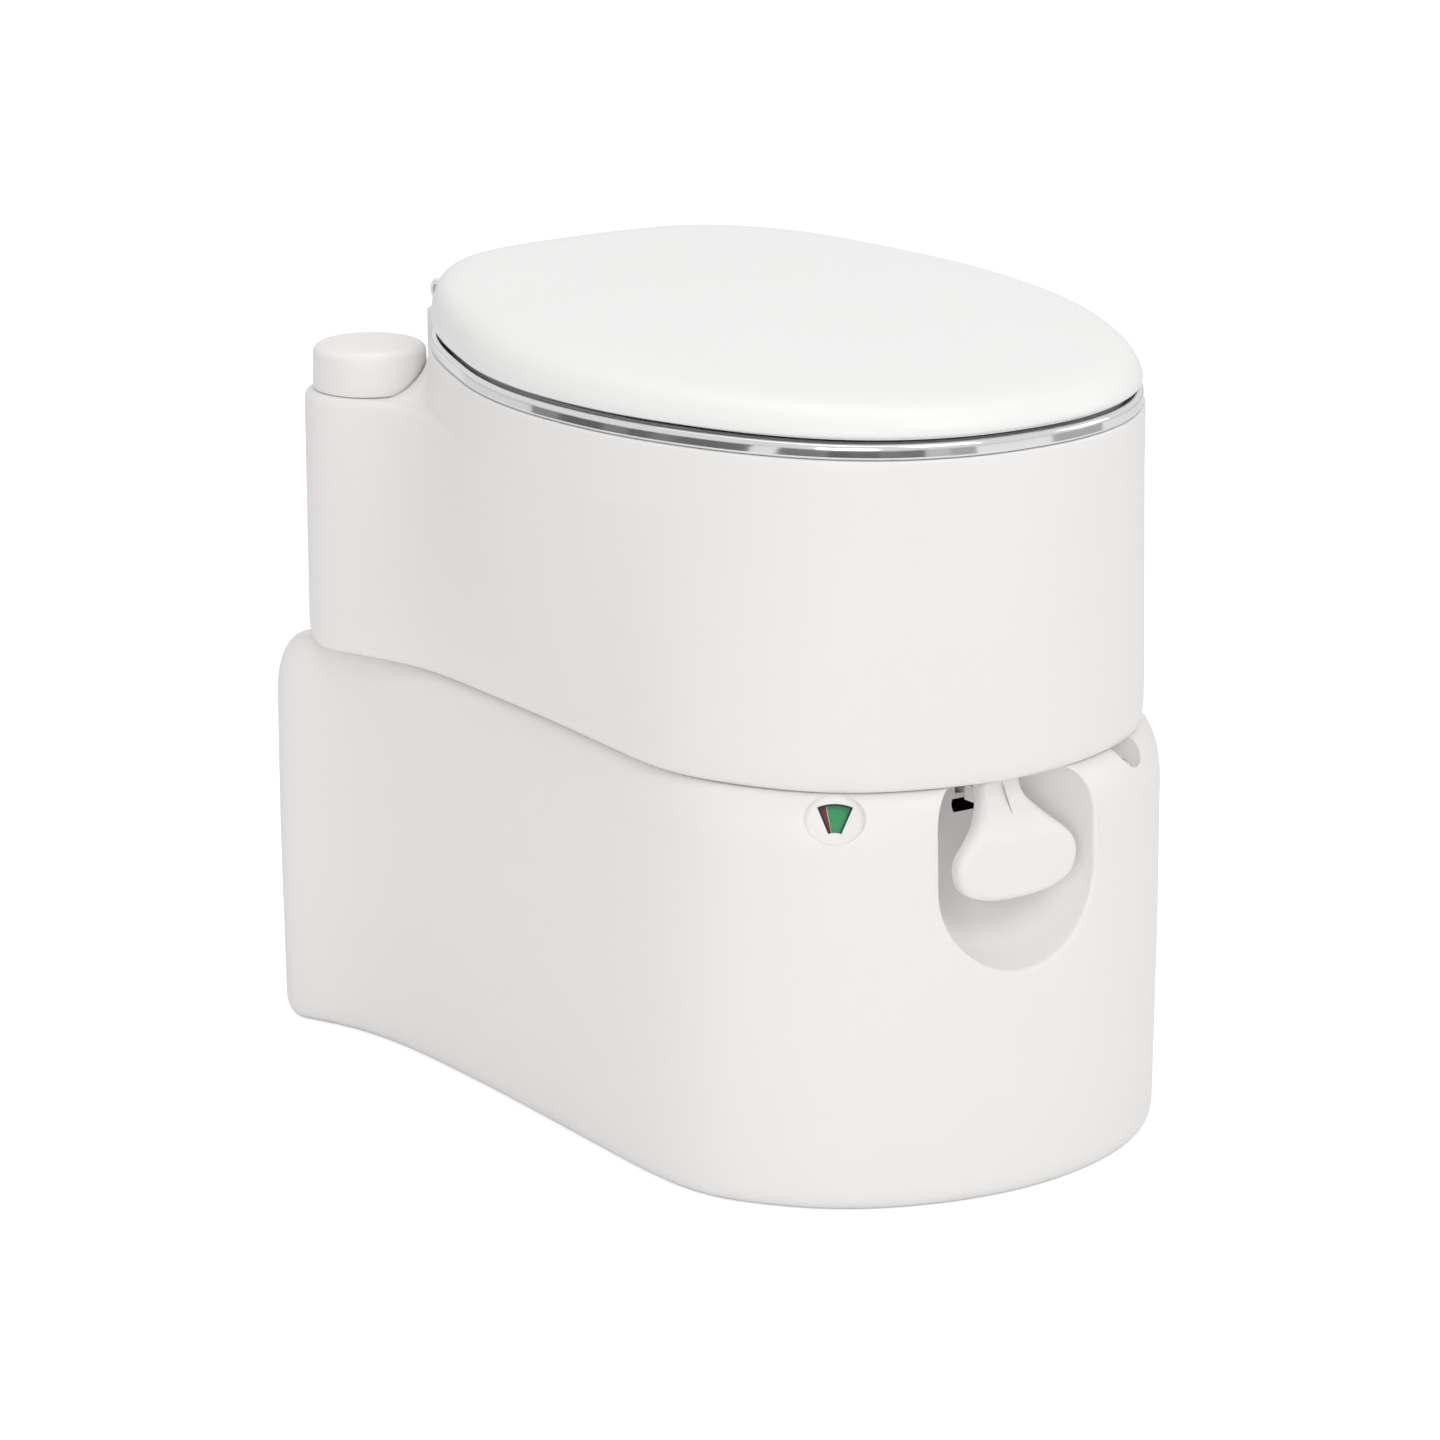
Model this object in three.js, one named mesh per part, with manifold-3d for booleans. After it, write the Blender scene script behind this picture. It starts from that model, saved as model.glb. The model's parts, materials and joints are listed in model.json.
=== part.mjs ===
// A camping toilet in two units: a waste tank below, and a flush tank with bowl, seat and lid above.
// Millimetres, +Z up, front towards -Y, +X to the right of someone who faces the front.
import * as THREE from "three";
import { mergeVertices } from "three/addons/utils/BufferGeometryUtils.js";
import Module from "manifold-3d";

const wasm = await Module();
wasm.setup();

// Driving dimensions of the whole
const half_width = 151.5;
const half_length = 212.75;
const tank_height = 194.2;
const deck_rise = 125.8;
const rim_rise = 151.8;
const lid_height = 24.2;
const wall = 3.2;
const clearance = 0.3;
const turn_play = 0.8;
const overrun = 20;

// Plan outlines as shares of the half width and the half length, from the front centre to the rear centre
const tank_shares = [
  [0, -1], [0.182, -0.988], [0.356, -0.955], [0.505, -0.906], [0.634, -0.84], [0.739, -0.758],
  [0.825, -0.666], [0.871, -0.56], [0.884, -0.44], [0.881, -0.243], [0.871, -0.008], [0.865, 0.25],
  [0.867, 0.438], [0.878, 0.592], [0.906, 0.714], [0.947, 0.804], [1, 0.894], [0.98, 0.947],
  [0.926, 0.986], [0.851, 1], [0.594, 0.996], [0.297, 0.989], [0, 0.986],
];
const foot_shares = [
  [0, -0.969], [0.185, -0.955], [0.37, -0.915], [0.508, -0.866], [0.617, -0.802], [0.71, -0.718],
  [0.785, -0.624], [0.835, -0.53], [0.855, -0.422], [0.848, -0.243], [0.835, -0.008], [0.832, 0.226],
  [0.832, 0.39], [0.845, 0.498], [0.881, 0.597], [0.927, 0.682], [0.967, 0.772], [0.939, 0.846],
  [0.863, 0.9], [0.759, 0.92], [0.528, 0.914], [0.264, 0.907], [0, 0.903],
];
const deck_shares = [
  [0, -0.981], [0.218, -0.965], [0.422, -0.908], [0.581, -0.821], [0.719, -0.696], [0.845, -0.519],
  [0.924, -0.346], [0.964, -0.163], [0.967, -0.014], [0.941, 0.141], [0.891, 0.282], [0.848, 0.409],
  [0.828, 0.508], [0.845, 0.588], [0.891, 0.658], [0.94, 0.705], [0.967, 0.772], [0.939, 0.846],
  [0.863, 0.9], [0.759, 0.92], [0.528, 0.914], [0.264, 0.907], [0, 0.903],
];
const rim_shares = [
  [0, -0.981], [0.218, -0.965], [0.422, -0.908], [0.581, -0.821], [0.719, -0.696], [0.845, -0.519],
  [0.924, -0.346], [0.964, -0.163], [0.967, -0.014], [0.937, 0.141], [0.878, 0.287], [0.802, 0.442],
  [0.726, 0.557], [0.64, 0.649], [0.535, 0.724], [0.396, 0.778], [0.198, 0.802], [0, 0.806],
];

// Directions in which every outline is sampled, in degrees from the front centre to the rear centre.
// They lie closest together where the rear corners bend most.
const spoke_bands = [
  { from: 0, to: 120, count: 11 },
  { from: 120, to: 136, count: 2 },
  { from: 136, to: 150, count: 5 },
  { from: 150, to: 180, count: 2 },
];
const outline_steps = 1600;
const round_sides = 16;
const small_sides = 10;

// Waste tank shell
const base_inset = 7;
const base_round = 11;
const base_draft = 1.2;
const shoulder_inset = 13;
const shoulder_round = 28.2;

// Pull recess in the front of the waste tank
const pull_x = -5;
const recess_half_width = 42.5;
const recess_centre_drop = 44.2;
const recess_depth = 40;
const recess_corner = 13;
const recess_depth_shares = [0, 0.16, 0.6, 1];
const recess_narrowing_shares = [0, 0.02, 0.11, 0.34];
const recess_arc_steps = 7;

// Slide valve in the top of the waste tank
const mouth_y = 5;
const mouth_radius = 45;
const valve_travel = 100;
const valve_half_width = 64;
const valve_well_depth = 17;
const valve_floor = 5;
const valve_margin = 8;
const valve_guide = 9;
const valve_end_wall = 3.5;
const valve_corner = 6;
const blade_thickness = 2.4;
const blade_overlap = 9;
const stem_width = 15;
const stem_slot_play = 3;
const cover_dish = 4;
const cover_rim = 5;
const seal_width = 6;
const seal_height = 2.4;
const screw_head_radius = 3.6;
const screw_head_height = 1.8;
const screw_shank_radius = 1.7;
const screw_length = 11;
const screw_inset = 9;

// Paddle on the valve stem
const paddle_half_width = 33;
const paddle_height = 52;
const paddle_thickness = 9;
const paddle_bevel = 2.5;
const paddle_set_back = 4;
const paddle_drop = 2.4;
const paddle_shares = [
  [0.22, 0], [0.24, -0.16], [0.4, -0.31], [0.72, -0.44], [0.95, -0.56], [1, -0.7], [0.9, -0.86],
  [0.6, -0.96], [0, -1],
];
const socket_length = 9;
const socket_wall = 2.4;

// Level indicator on the front left shoulder
const indicator_side_inset = 64;
const indicator_set_back = 32.25;
const indicator_drop = 9.7;
const indicator_turn = 37;
const indicator_tilt = 25;
const pocket_half_width = 13.5;
const pocket_half_height = 11.5;
const pocket_depth = 3;
const pocket_floor_share = 0.86;
const pivot_drop = 13;
const dial_radius = 21.5;
const dial_hub_radius = 3;
const dial_thickness = 1.2;
const dial_cover = 1.3;
const chamber_depth = 3.4;
const window_inner_radius = 7.5;
const window_outer_radius = 20.5;
const window_half_angle = 23;
const dial_margin_angle = 3;
const chamber_play_angle = 2;
const lens_thickness = 1.4;
const lens_play_angle = 1;
const spindle_radius = 2;
const spindle_length = 46;
const bush_radius = 5;
const bush_length = 9;
const float_travel_angle = 36;
const float_rest_angle = 20;
const float_arm_length = 45;
const float_arm_width = 6;
const float_arm_thickness = 3;
const float_radius = 10;
const float_length = 24;

// Vent button in the scallop of the front right shoulder
const vent_x_share = 0.475;
const vent_set_back = 32.75;
const scallop_offset = 4;
const scallop_drop = 1.2;
const scallop_radius = 16;
const vent_well_depth = 11.5;
const vent_head_rise = 7;
const vent_head_radius = 6;
const vent_head_height = 5;
const vent_stem_radius = 2;
const vent_plug_radius = 4.5;
const spring_radius = 4;
const spring_wire_radius = 0.4;
const spring_turns = 5;
const spring_steps_per_turn = 7;
const spring_sides = 4;

// Emptying spout in the rear alcove
const alcove_left_inset = 71.5;
const alcove_right_inset = 27.5;
const alcove_depth = 62.75;
const alcove_height = 66.2;
const alcove_corner = 9;
const spout_side_inset = 59.5;
const spout_set_back = 31.75;
const spout_radius = 18;
const spout_bore = 15;
const spout_flange_radius = 23;
const spout_flange_height = 5;
const spout_rise = 12;
const spout_bend = 21;
const bend_share = 0.5523;
const spout_reach = 90;
const spout_steps = 7;
const retainer_radius = 27;
const retainer_lip = 3.5;
const o_ring_radius = 1;
const o_ring_sides = 4;
const cap_grip = 14;
const cap_wall = 3;
const cap_rib_depth = 1.2;
const cap_rib_count = 18;

// Dock latch on the rear left shoulder
const latch_side_inset = 45.5;
const latch_half_width = 9;
const latch_floor_drop = 9;
const latch_gap = 1.3;
const latch_length = 12;
const latch_riser_set_back = 6.5;
const latch_height = 21;
const latch_travel = 7;
const latch_nose_half_width = 5;
const latch_nose_height = 6;
const latch_pocket_play = 2.6;

// Flush tank shell and bowl
const foot_round = 12;
const foot_inset = 4.5;
const waist_rise = 27;
const deck_round = 5;
const deck_inset = 3.5;
const swell_shares = [[0.004, 0.42], [0.1, 0.18], [0.5, 0]];
const bowl_side_inset = 43.5;
const bowl_front_inset = 46.75;
const bowl_rear_inset = 80.75;
const bowl_shares = [[0, 1], [0.1, 0.94], [0.45, 0.73], [0.75, 0.36], [1, 0]];
const rim_flange_height = 5;
const ledge_half_width = 80;
const ledge_rise = 3.7;
const ledge_corner = 3;

// Filler and pump on the two rear pillars
const pillar_side_inset = 36.5;
const pillar_set_back = 48.5;
const pillar_radius = 31.5;
const filler_cap_radius = 27.5;
const filler_cap_height = 18;
const filler_cap_wall = 2.6;
const filler_cap_edge = 3.5;
const filler_neck_radius = 21.5;
const filler_neck_bore = 18;
const pump_collar_radius = 27;
const pump_collar_height = 4.5;
const pump_collar_edge = 2;
const pump_knob_radius = 22;
const pump_knob_height = 13;
const pump_knob_edge = 3;
const pump_knob_socket = 8;
const pump_barrel_radius = 15;
const pump_barrel_bore = 12.5;
const pump_barrel_length = 96;
const pump_flange_radius = 21;
const pump_flange_height = 2;
const pump_rod_radius = 4;
const pump_piston_height = 12;
const piston_groove_depth = 3;
const piston_groove_height = 3.6;
const foot_valve_height = 7;
const foot_valve_bore = 4;
const hose_radius = 3.5;
const hose_steps = 10;
const hose_sides = 8;
const hose_sag_share = 0.12;
const hose_drop = 72;
const nozzle_radius = 7;
const nozzle_length = 16;
const nozzle_drop = 26;

// Trim ring, seat, lid and hinge
const trim_height = 7.3;
const trim_width = 8;
const trim_inset = 1;
const trim_bulge_shares = [[0.25, 0], [0, 0.5], [0.25, 1]];
const seat_inset = 9;
const seat_gap = 8.3;
const seat_thickness = 9;
const seat_hole_side_lap = 15;
const seat_hole_front_lap = 16;
const seat_hole_rear_lap = 30;
const seat_outer_shares = [[0.1, 0], [0, 0.5], [0.25, 0.87], [0.6, 1]];
const seat_inner_shares = [[0.6, 1], [0.15, 0.75], [0, 0]];
const bumper_radius = 6;
const seat_bumper_spokes = [2, 10];
const lid_gap = 9.3;
const lid_inset = 1.5;
const lid_wall = 2.6;
const lid_centre_y = -15;
const lid_rise_share = 0.37;
const lid_shares = [
  [0.01, 0], [0, 0.18], [0.009, 0.38], [0.028, 0.6], [0.058, 0.75], [0.11, 0.84], [0.3, 0.92], [0.55, 0.975],
  [0.8, 1],
];
const lid_hollow_shares = [[0, 0.28], [0.022, 0.56], [0.06, 0.74], [0.28, 0.9], [0.62, 0.97]];
const lid_bumper_side_inset = 66.5;
const lid_bumper_front_inset = 92.75;
const lid_bumper_height = 4;
const lid_boss_radius = 8;
const hinge_set_back = 32.75;
const hinge_rise = 8.8;
const hinge_pin_radius = 2.6;
const hinge_pin_x = 38;
const hinge_pin_length = 39;
const knuckle_radius = 6;
const seat_knuckle_x = 39;
const seat_knuckle_width = 10.5;
const seat_knuckle_reach = 29;
const bracket_x = 50;
const bracket_width = 11;
const bracket_half_depth = 6.5;
const lid_knuckle_x = 61.5;
const lid_knuckle_width = 14.5;
const lid_knuckle_reach = 24;
const notch_play = 1.5;
const notch_height = 9.4;

// Heights and places that several pieces share
const tank_front_y = -half_length;
const flush_floor_z = tank_height + clearance;
const deck_z = flush_floor_z + deck_rise;
const rim_z = flush_floor_z + rim_rise;
const flange_z = rim_z + rim_flange_height;
const ledge_z = rim_z + ledge_rise;
const seat_z = rim_z + seat_gap;
const seat_top_z = seat_z + seat_thickness;
const lid_z = rim_z + lid_gap;
const hinge_y = half_length - hinge_set_back;
const lid_bumper_x = half_width - lid_bumper_side_inset;
const lid_bumper_y = lid_bumper_front_inset - half_length;
const hinge_z = ledge_z + hinge_rise;
const bowl_half_width = half_width - bowl_side_inset;
const bowl_front_y = bowl_front_inset - half_length;
const bowl_rear_y = half_length - bowl_rear_inset;
const pillar_x = half_width - pillar_side_inset;
const pillar_y = half_length - pillar_set_back;
const indicator_x = indicator_side_inset - half_width;
const indicator_y = tank_front_y + indicator_set_back;
const indicator_z = tank_height - indicator_drop;
const vent_x = vent_x_share * half_width;
const vent_y = tank_front_y + vent_set_back;
const scallop_z = tank_height - scallop_drop;
const alcove_left_x = alcove_left_inset - half_width;
const alcove_right_x = half_width - alcove_right_inset;
const alcove_front_y = half_length - alcove_depth;
const alcove_floor_z = tank_height - alcove_height;
const spout_x = half_width - spout_side_inset;
const spout_y = half_length - spout_set_back;
const latch_x = latch_side_inset - half_width;
const recess_centre_z = tank_height - recess_centre_drop;
const recess_back_y = tank_front_y + recess_depth;
const well_floor_z = tank_height - valve_well_depth;
const frame_z = well_floor_z + clearance;
const frame_floor_z = frame_z + valve_floor;
const blade_z = frame_floor_z + clearance;
const cover_z = blade_z + blade_thickness + clearance;
const cover_floor_z = tank_height - cover_dish;
const blade_rear_y = mouth_y + mouth_radius + blade_overlap;
const blade_front_y = mouth_y - mouth_radius - blade_overlap;
const frame_front_y = blade_front_y - valve_travel - valve_margin;
const frame_rear_y = blade_rear_y + valve_margin;
const blade_half_width = valve_half_width - valve_guide - clearance;
const paddle_back_y = tank_front_y + paddle_set_back + paddle_thickness;
const dial_front_y = pocket_depth + lens_thickness + dial_cover;
const chamber_front_y = dial_front_y - clearance;
const chamber_back_y = chamber_front_y + chamber_depth;
const dial_half_angle = window_half_angle + dial_margin_angle;
const vent_floor_z = scallop_z - scallop_radius;
const vent_well_z = vent_floor_z - vent_well_depth;
const latch_front_y = pillar_y + pillar_radius + latch_gap;
const latch_floor_z = tank_height - latch_floor_drop;
const filler_neck_height = filler_cap_height - filler_cap_wall - seal_height - 2 * clearance;
const collar_z = clearance + pump_flange_height + clearance;
const knob_z = collar_z + pump_collar_height + clearance;
const piston_z = -pump_barrel_length + foot_valve_height + clearance;
const nozzle_z = rim_z - nozzle_drop;

const white_plastic = { color: 0xf1f0ee, roughness: 0.35 };
const grey_plastic = { color: 0xb9bbbc, roughness: 0.5 };
const green_plastic = { color: 0x17934f, roughness: 0.5 };
const clear_plastic = { color: 0xe9f2ef, roughness: 0.1 };
const dark_rubber = { color: 0x3a3b3c, roughness: 0.8 };
const chrome = { color: 0xd9dbdd, roughness: 0.12, metalness: 1 };
const steel = { color: 0x9a9c9e, roughness: 0.35, metalness: 1 };

const radians = THREE.MathUtils.degToRad;

// Turns a closed geometry into a solid whose faces point outwards.
function solid(shape) {
  if (!shape.isBufferGeometry) return shape;
  const bare = shape.index ? shape.toNonIndexed() : shape.clone();
  for (const name of Object.keys(bare.attributes)) {
    if (name !== "position") bare.deleteAttribute(name);
  }
  const merged = mergeVertices(bare, 1e-4);
  const corner = (i) => new THREE.Vector3().fromBufferAttribute(merged.attributes.position, i);
  const faces = [];
  let volume = 0;
  for (let i = 0; i < merged.index.count; i += 3) {
    const [a, b, c] = merged.index.array.slice(i, i + 3);
    if (a === b || b === c || c === a) continue;
    faces.push([a, b, c]);
    volume += corner(a).dot(corner(b).cross(corner(c)));
  }
  const outward = volume < 0 ? faces.map(([a, b, c]) => [a, c, b]) : faces;
  return new wasm.Manifold(new wasm.Mesh({
    numProp: 3,
    vertProperties: Float32Array.from(merged.attributes.position.array),
    triVerts: Uint32Array.from(outward.flat()),
  }));
}

const join = (first, ...others) => others.reduce((sum, shape) => sum.add(solid(shape)), solid(first));
const cut = (first, ...tools) => tools.reduce((left, shape) => left.subtract(solid(shape)), solid(first));
const overlap = (first, second) => solid(first).intersect(solid(second));

// Adds a named mesh with a material of its own to a group.
function place(group, name, shape, finish) {
  const { vertProperties, triVerts } = solid(shape).getMesh();
  const geometry = new THREE.BufferGeometry();
  geometry.setAttribute("position", new THREE.BufferAttribute(Float32Array.from(vertProperties), 3));
  geometry.setIndex(new THREE.BufferAttribute(Uint32Array.from(triVerts), 1));
  geometry.computeVertexNormals();
  const mesh = new THREE.Mesh(geometry, new THREE.MeshStandardMaterial(finish));
  mesh.name = name;
  group.add(mesh);
  return mesh;
}

function group_at(parent, x, y, z) {
  const group = new THREE.Group();
  group.position.set(x, y, z);
  parent.add(group);
  return group;
}

const half_spokes = spoke_bands.flatMap(({ from, to, count }) =>
  Array.from({ length: count }, (_, i) => radians(from + ((to - from) * i) / count)),
);
half_spokes.push(Math.PI);

// Completes a half ring, given from the front centre to the rear centre, by its mirror image.
function mirrored(half) {
  half[0].x = 0;
  half.at(-1).x = 0;
  return [...half, ...half.slice(1, -1).reverse().map((p) => new THREE.Vector2(-p.x, p.y))];
}

// A closed plan outline through mirrored points, sampled on the spokes, counter-clockwise from above.
function outline(shares) {
  const half = shares.map(([x, y]) => new THREE.Vector3(x * half_width, y * half_length, 0));
  const other = half.slice(1, -1).reverse().map((p) => new THREE.Vector3(-p.x, p.y, 0));
  const curve = new THREE.CatmullRomCurve3([...half, ...other], true, "centripetal");
  const dense = curve.getPoints(outline_steps).slice(0, outline_steps / 2 + 1);
  const angles = dense.map((p) => Math.abs(Math.atan2(p.x, -p.y)));
  return mirrored(half_spokes.map((angle) => {
    const found = angles.findIndex((a) => a >= angle);
    const i = found < 0 ? angles.length - 1 : Math.max(found, 1);
    const share = (angle - angles[i - 1]) / (angles[i] - angles[i - 1]);
    const radius = THREE.MathUtils.lerp(dense[i - 1].length(), dense[i].length(), share);
    return new THREE.Vector2(radius * Math.sin(angle), -radius * Math.cos(angle));
  }));
}

// An ellipse with one point for each spoke.
function oval(reach_x, front_y, rear_y) {
  const reach_y = (rear_y - front_y) / 2;
  const centre_y = (rear_y + front_y) / 2;
  return mirrored(half_spokes.map((a) =>
    new THREE.Vector2(reach_x * Math.sin(a), centre_y - reach_y * Math.cos(a))));
}

// Moves each point of a ring inwards along its normal.
function inset(ring, distance) {
  return ring.map((p, i) => {
    const before = ring[(i + ring.length - 1) % ring.length];
    const after = ring[(i + 1) % ring.length];
    const along = after.clone().sub(before).normalize();
    return new THREE.Vector2(p.x - along.y * distance, p.y + along.x * distance);
  });
}

const mix = (a, b, share) => a.map((p, i) => p.clone().lerp(b[i], share));
const widest = (a, b) => a.map((p, i) => (p.length() > b[i].length() ? p : b[i]).clone());
const shrink = (ring, y, share) => ring.map((p) => p.clone().lerp(new THREE.Vector2(0, y), share));
const lift = (ring, z) => ring.map((p) => new THREE.Vector3(p.x, p.y, z));
const rear_of = (ring) => ring[half_spokes.length - 1].y;

// Joins rings of points by bands of faces. Fans close the ends, or the last ring joins the first.
function skin(rings, looped = false) {
  const count = rings[0].length;
  const points = rings.flat();
  const faces = [];
  rings.forEach((_, k) => {
    if (k === rings.length - 1 && !looped) return;
    const low = k * count;
    const high = ((k + 1) % rings.length) * count;
    for (let i = 0; i < count; i++) {
      const j = (i + 1) % count;
      faces.push(low + i, low + j, high + j, low + i, high + j, high + i);
    }
  });
  if (!looped) {
    for (const first of [0, (rings.length - 1) * count]) {
      const centre = new THREE.Vector3();
      points.slice(first, first + count).forEach((p) => centre.addScaledVector(p, 1 / count));
      const hub = points.push(centre) - 1;
      for (let i = 0; i < count; i++) {
        const pair = [first + i, first + ((i + 1) % count)];
        faces.push(...(first === 0 ? pair.reverse() : pair), hub);
      }
    }
  }
  const geometry = new THREE.BufferGeometry().setFromPoints(points);
  geometry.setIndex(faces);
  return geometry;
}

// A quarter ellipse as pairs of inset and height, from the full inset to none.
function quarter(full_inset, height, steps) {
  return Array.from({ length: steps + 1 }, (_, i) => {
    const angle = ((Math.PI / 2) * i) / steps;
    return [full_inset * (1 - Math.sin(angle)), height * (1 - Math.cos(angle))];
  });
}

// Revolves pairs of radius and height about the vertical. A profile off the axis is closed on itself.
function revolve(profile, sides = round_sides) {
  const closed = profile[0][0] === 0 ? profile : [...profile, profile[0]];
  const geometry = new THREE.LatheGeometry(closed.map(([r, z]) => new THREE.Vector2(r, z)), sides);
  return geometry.rotateX(Math.PI / 2);
}

const rod = (radius, low, high, sides = round_sides) =>
  revolve([[0, low], [radius, low], [radius, high], [0, high]], sides);
const washer = (bore, radius, low, high, sides = round_sides) =>
  revolve([[bore, low], [radius, low], [radius, high], [bore, high]], sides);
const along_x = (geometry) => geometry.rotateY(Math.PI / 2);
const along_y = (geometry) => geometry.rotateX(-Math.PI / 2);

function box(low, high) {
  const [width, depth, height] = low.map((v, i) => high[i] - v);
  const geometry = new THREE.BoxGeometry(width, depth, height);
  return geometry.translate(low[0] + width / 2, low[1] + depth / 2, low[2] + height / 2);
}

// A block whose upright edges are round.
function rounded_block(low, high, radius) {
  const shape = new THREE.Shape();
  const right = high[0] - radius;
  const left = low[0] + radius;
  const rear = high[1] - radius;
  const front = low[1] + radius;
  shape.absarc(right, front, radius, -Math.PI / 2, 0);
  shape.absarc(right, rear, radius, 0, Math.PI / 2);
  shape.absarc(left, rear, radius, Math.PI / 2, Math.PI);
  shape.absarc(left, front, radius, Math.PI, 1.5 * Math.PI);
  const settings = { depth: high[2] - low[2], bevelEnabled: false, curveSegments: 2 };
  return new THREE.ExtrudeGeometry(shape, settings).translate(0, 0, low[2]);
}

// A round bar along a curve.
function tube(path, radius, steps, sides) {
  const shape = new THREE.Shape(Array.from({ length: sides }, (_, i) => {
    const angle = (2 * Math.PI * i) / sides;
    return new THREE.Vector2(radius * Math.cos(angle), radius * Math.sin(angle));
  }));
  return new THREE.ExtrudeGeometry(shape, { extrudePath: path, steps });
}

// The lower and upper x of a stretch that starts at a distance from the middle, on one side of it
const stretch = (side, x, width) => (side > 0 ? [x, x + width] : [-x - width, -x]);

const tank_outline = outline(tank_shares);
const foot_outline = outline(foot_shares);
const deck_outline = outline(deck_shares);
const rim_outline = outline(rim_shares);

// Cutters take a growth, so that the hollow behind a recess leaves its wall.
// The scooped recess in the front narrows with its depth.
function pull_recess(grow) {
  const shoulder_z = tank_height - 1.6 * recess_corner;
  return skin(recess_depth_shares.map((depth_share, k) => {
    const narrowing = recess_half_width * recess_narrowing_shares[k];
    const half = recess_half_width - narrowing + grow;
    const centre_z = recess_centre_z + narrowing;
    const y = tank_front_y + depth_share * (recess_depth + grow) - (k === 0 ? overrun : 0);
    const edge = [
      [half - recess_corner, tank_height + overrun],
      [half - recess_corner, tank_height],
      [half - recess_corner / 4, tank_height - recess_corner / 2],
      [half, shoulder_z],
    ];
    const arc = Array.from({ length: recess_arc_steps + 1 }, (_, i) => {
      const angle = (Math.PI * i) / recess_arc_steps;
      return [half * Math.cos(angle), centre_z - half * Math.sin(angle)];
    });
    const points = [...edge, ...arc, ...edge.map(([x, z]) => [-x, z]).reverse()];
    return points.map(([x, z]) => new THREE.Vector3(pull_x + x, y, z));
  }));
}

function valve_well(grow) {
  const margin = clearance + grow;
  const low = [-valve_half_width - margin, frame_front_y - margin, well_floor_z - grow];
  const high = [valve_half_width + margin, frame_rear_y + margin, tank_height + overrun];
  return rounded_block(low, high, valve_corner + margin);
}

function stem_slot(grow) {
  const half = stem_width / 2 + stem_slot_play + grow;
  const low = [pull_x - half, recess_back_y - 2 * wall, blade_z - 2 * clearance - grow];
  return box(low, [pull_x + half, frame_front_y + grow, cover_z + clearance + grow]);
}

function rear_alcove(grow) {
  const low = [alcove_left_x - grow, alcove_front_y - grow, alcove_floor_z - grow];
  const high = [alcove_right_x + grow, half_length + overrun, tank_height + overrun];
  return rounded_block(low, high, alcove_corner + grow);
}

function latch_notch(grow) {
  const half = latch_half_width + clearance + grow;
  const low = [latch_x - half, latch_front_y - latch_travel - clearance - grow, latch_floor_z - grow];
  return box(low, [latch_x + half, half_length + overrun, tank_height + overrun]);
}

function scallop(grow) {
  const ball = new THREE.SphereGeometry(scallop_radius + grow, round_sides, small_sides);
  return ball.translate(vent_x + scallop_offset, vent_y - scallop_offset, scallop_z);
}

const vent_well = (grow) =>
  rod(vent_head_radius + clearance + grow, vent_well_z - grow, scallop_z, small_sides)
    .translate(vent_x, vent_y, 0);

// A part of a ring about the dial's pivot, between two angles from the vertical, in the indicator's frame
function dial_sector(inner, outer, low_angle, high_angle, front_y, back_y) {
  const from = radians(90 - low_angle);
  const to = radians(90 - high_angle);
  const shape = new THREE.Shape();
  shape.absarc(0, 0, outer, from, to, true);
  shape.absarc(0, 0, inner, to, from, false);
  const settings = { depth: back_y - front_y, bevelEnabled: false, curveSegments: 8 };
  return new THREE.ExtrudeGeometry(shape, settings).rotateX(Math.PI / 2).translate(0, back_y, -pivot_drop);
}

const at_pivot = (geometry) => along_y(geometry).translate(0, 0, -pivot_drop);

function indicator_dish() {
  const ring = (share, y) => Array.from({ length: round_sides }, (_, i) => {
    const angle = (2 * Math.PI * i) / round_sides;
    const [x, z] = [pocket_half_width * Math.cos(angle), pocket_half_height * Math.sin(angle)];
    return new THREE.Vector3(share * x, y, share * z);
  });
  return skin([ring(1, -overrun / 2), ring(1, -clearance), ring(pocket_floor_share, pocket_depth)]);
}

// Everything that is cut from the tank at the indicator, in the indicator's frame
function indicator_cutters() {
  const hub = dial_hub_radius + clearance;
  const sweep = dial_half_angle + float_travel_angle + chamber_play_angle;
  return [
    indicator_dish(),
    dial_sector(window_inner_radius, window_outer_radius, -window_half_angle, window_half_angle,
      0, chamber_front_y + clearance),
    dial_sector(hub / 2, dial_radius + clearance, -sweep, sweep, chamber_front_y, chamber_back_y),
    at_pivot(rod(hub, chamber_front_y, chamber_back_y, small_sides)),
    at_pivot(rod(bush_radius + clearance, chamber_back_y - clearance, chamber_back_y + overrun, small_sides)),
  ];
}

function indicator_bosses() {
  return [
    at_pivot(rod(dial_radius + wall, -overrun, chamber_back_y + wall)),
    at_pivot(rod(bush_radius + wall, chamber_back_y, chamber_back_y + bush_length, small_sides)),
  ];
}

// The tank's outside or, with a thickness, its inside
function tank_rings(thickness) {
  const base = quarter(base_inset, base_round - thickness, thickness ? 1 : 2);
  const shoulder = quarter(shoulder_inset, shoulder_round - thickness, thickness ? 2 : 4).reverse();
  const levels = [
    ...base.map(([d, z]) => [d + base_draft, thickness + z]),
    [0, tank_height / 2],
    ...shoulder.map(([d, z]) => [d, tank_height - thickness - z]),
  ];
  return levels.map(([d, z]) => lift(inset(tank_outline, d + thickness), z));
}

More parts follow.
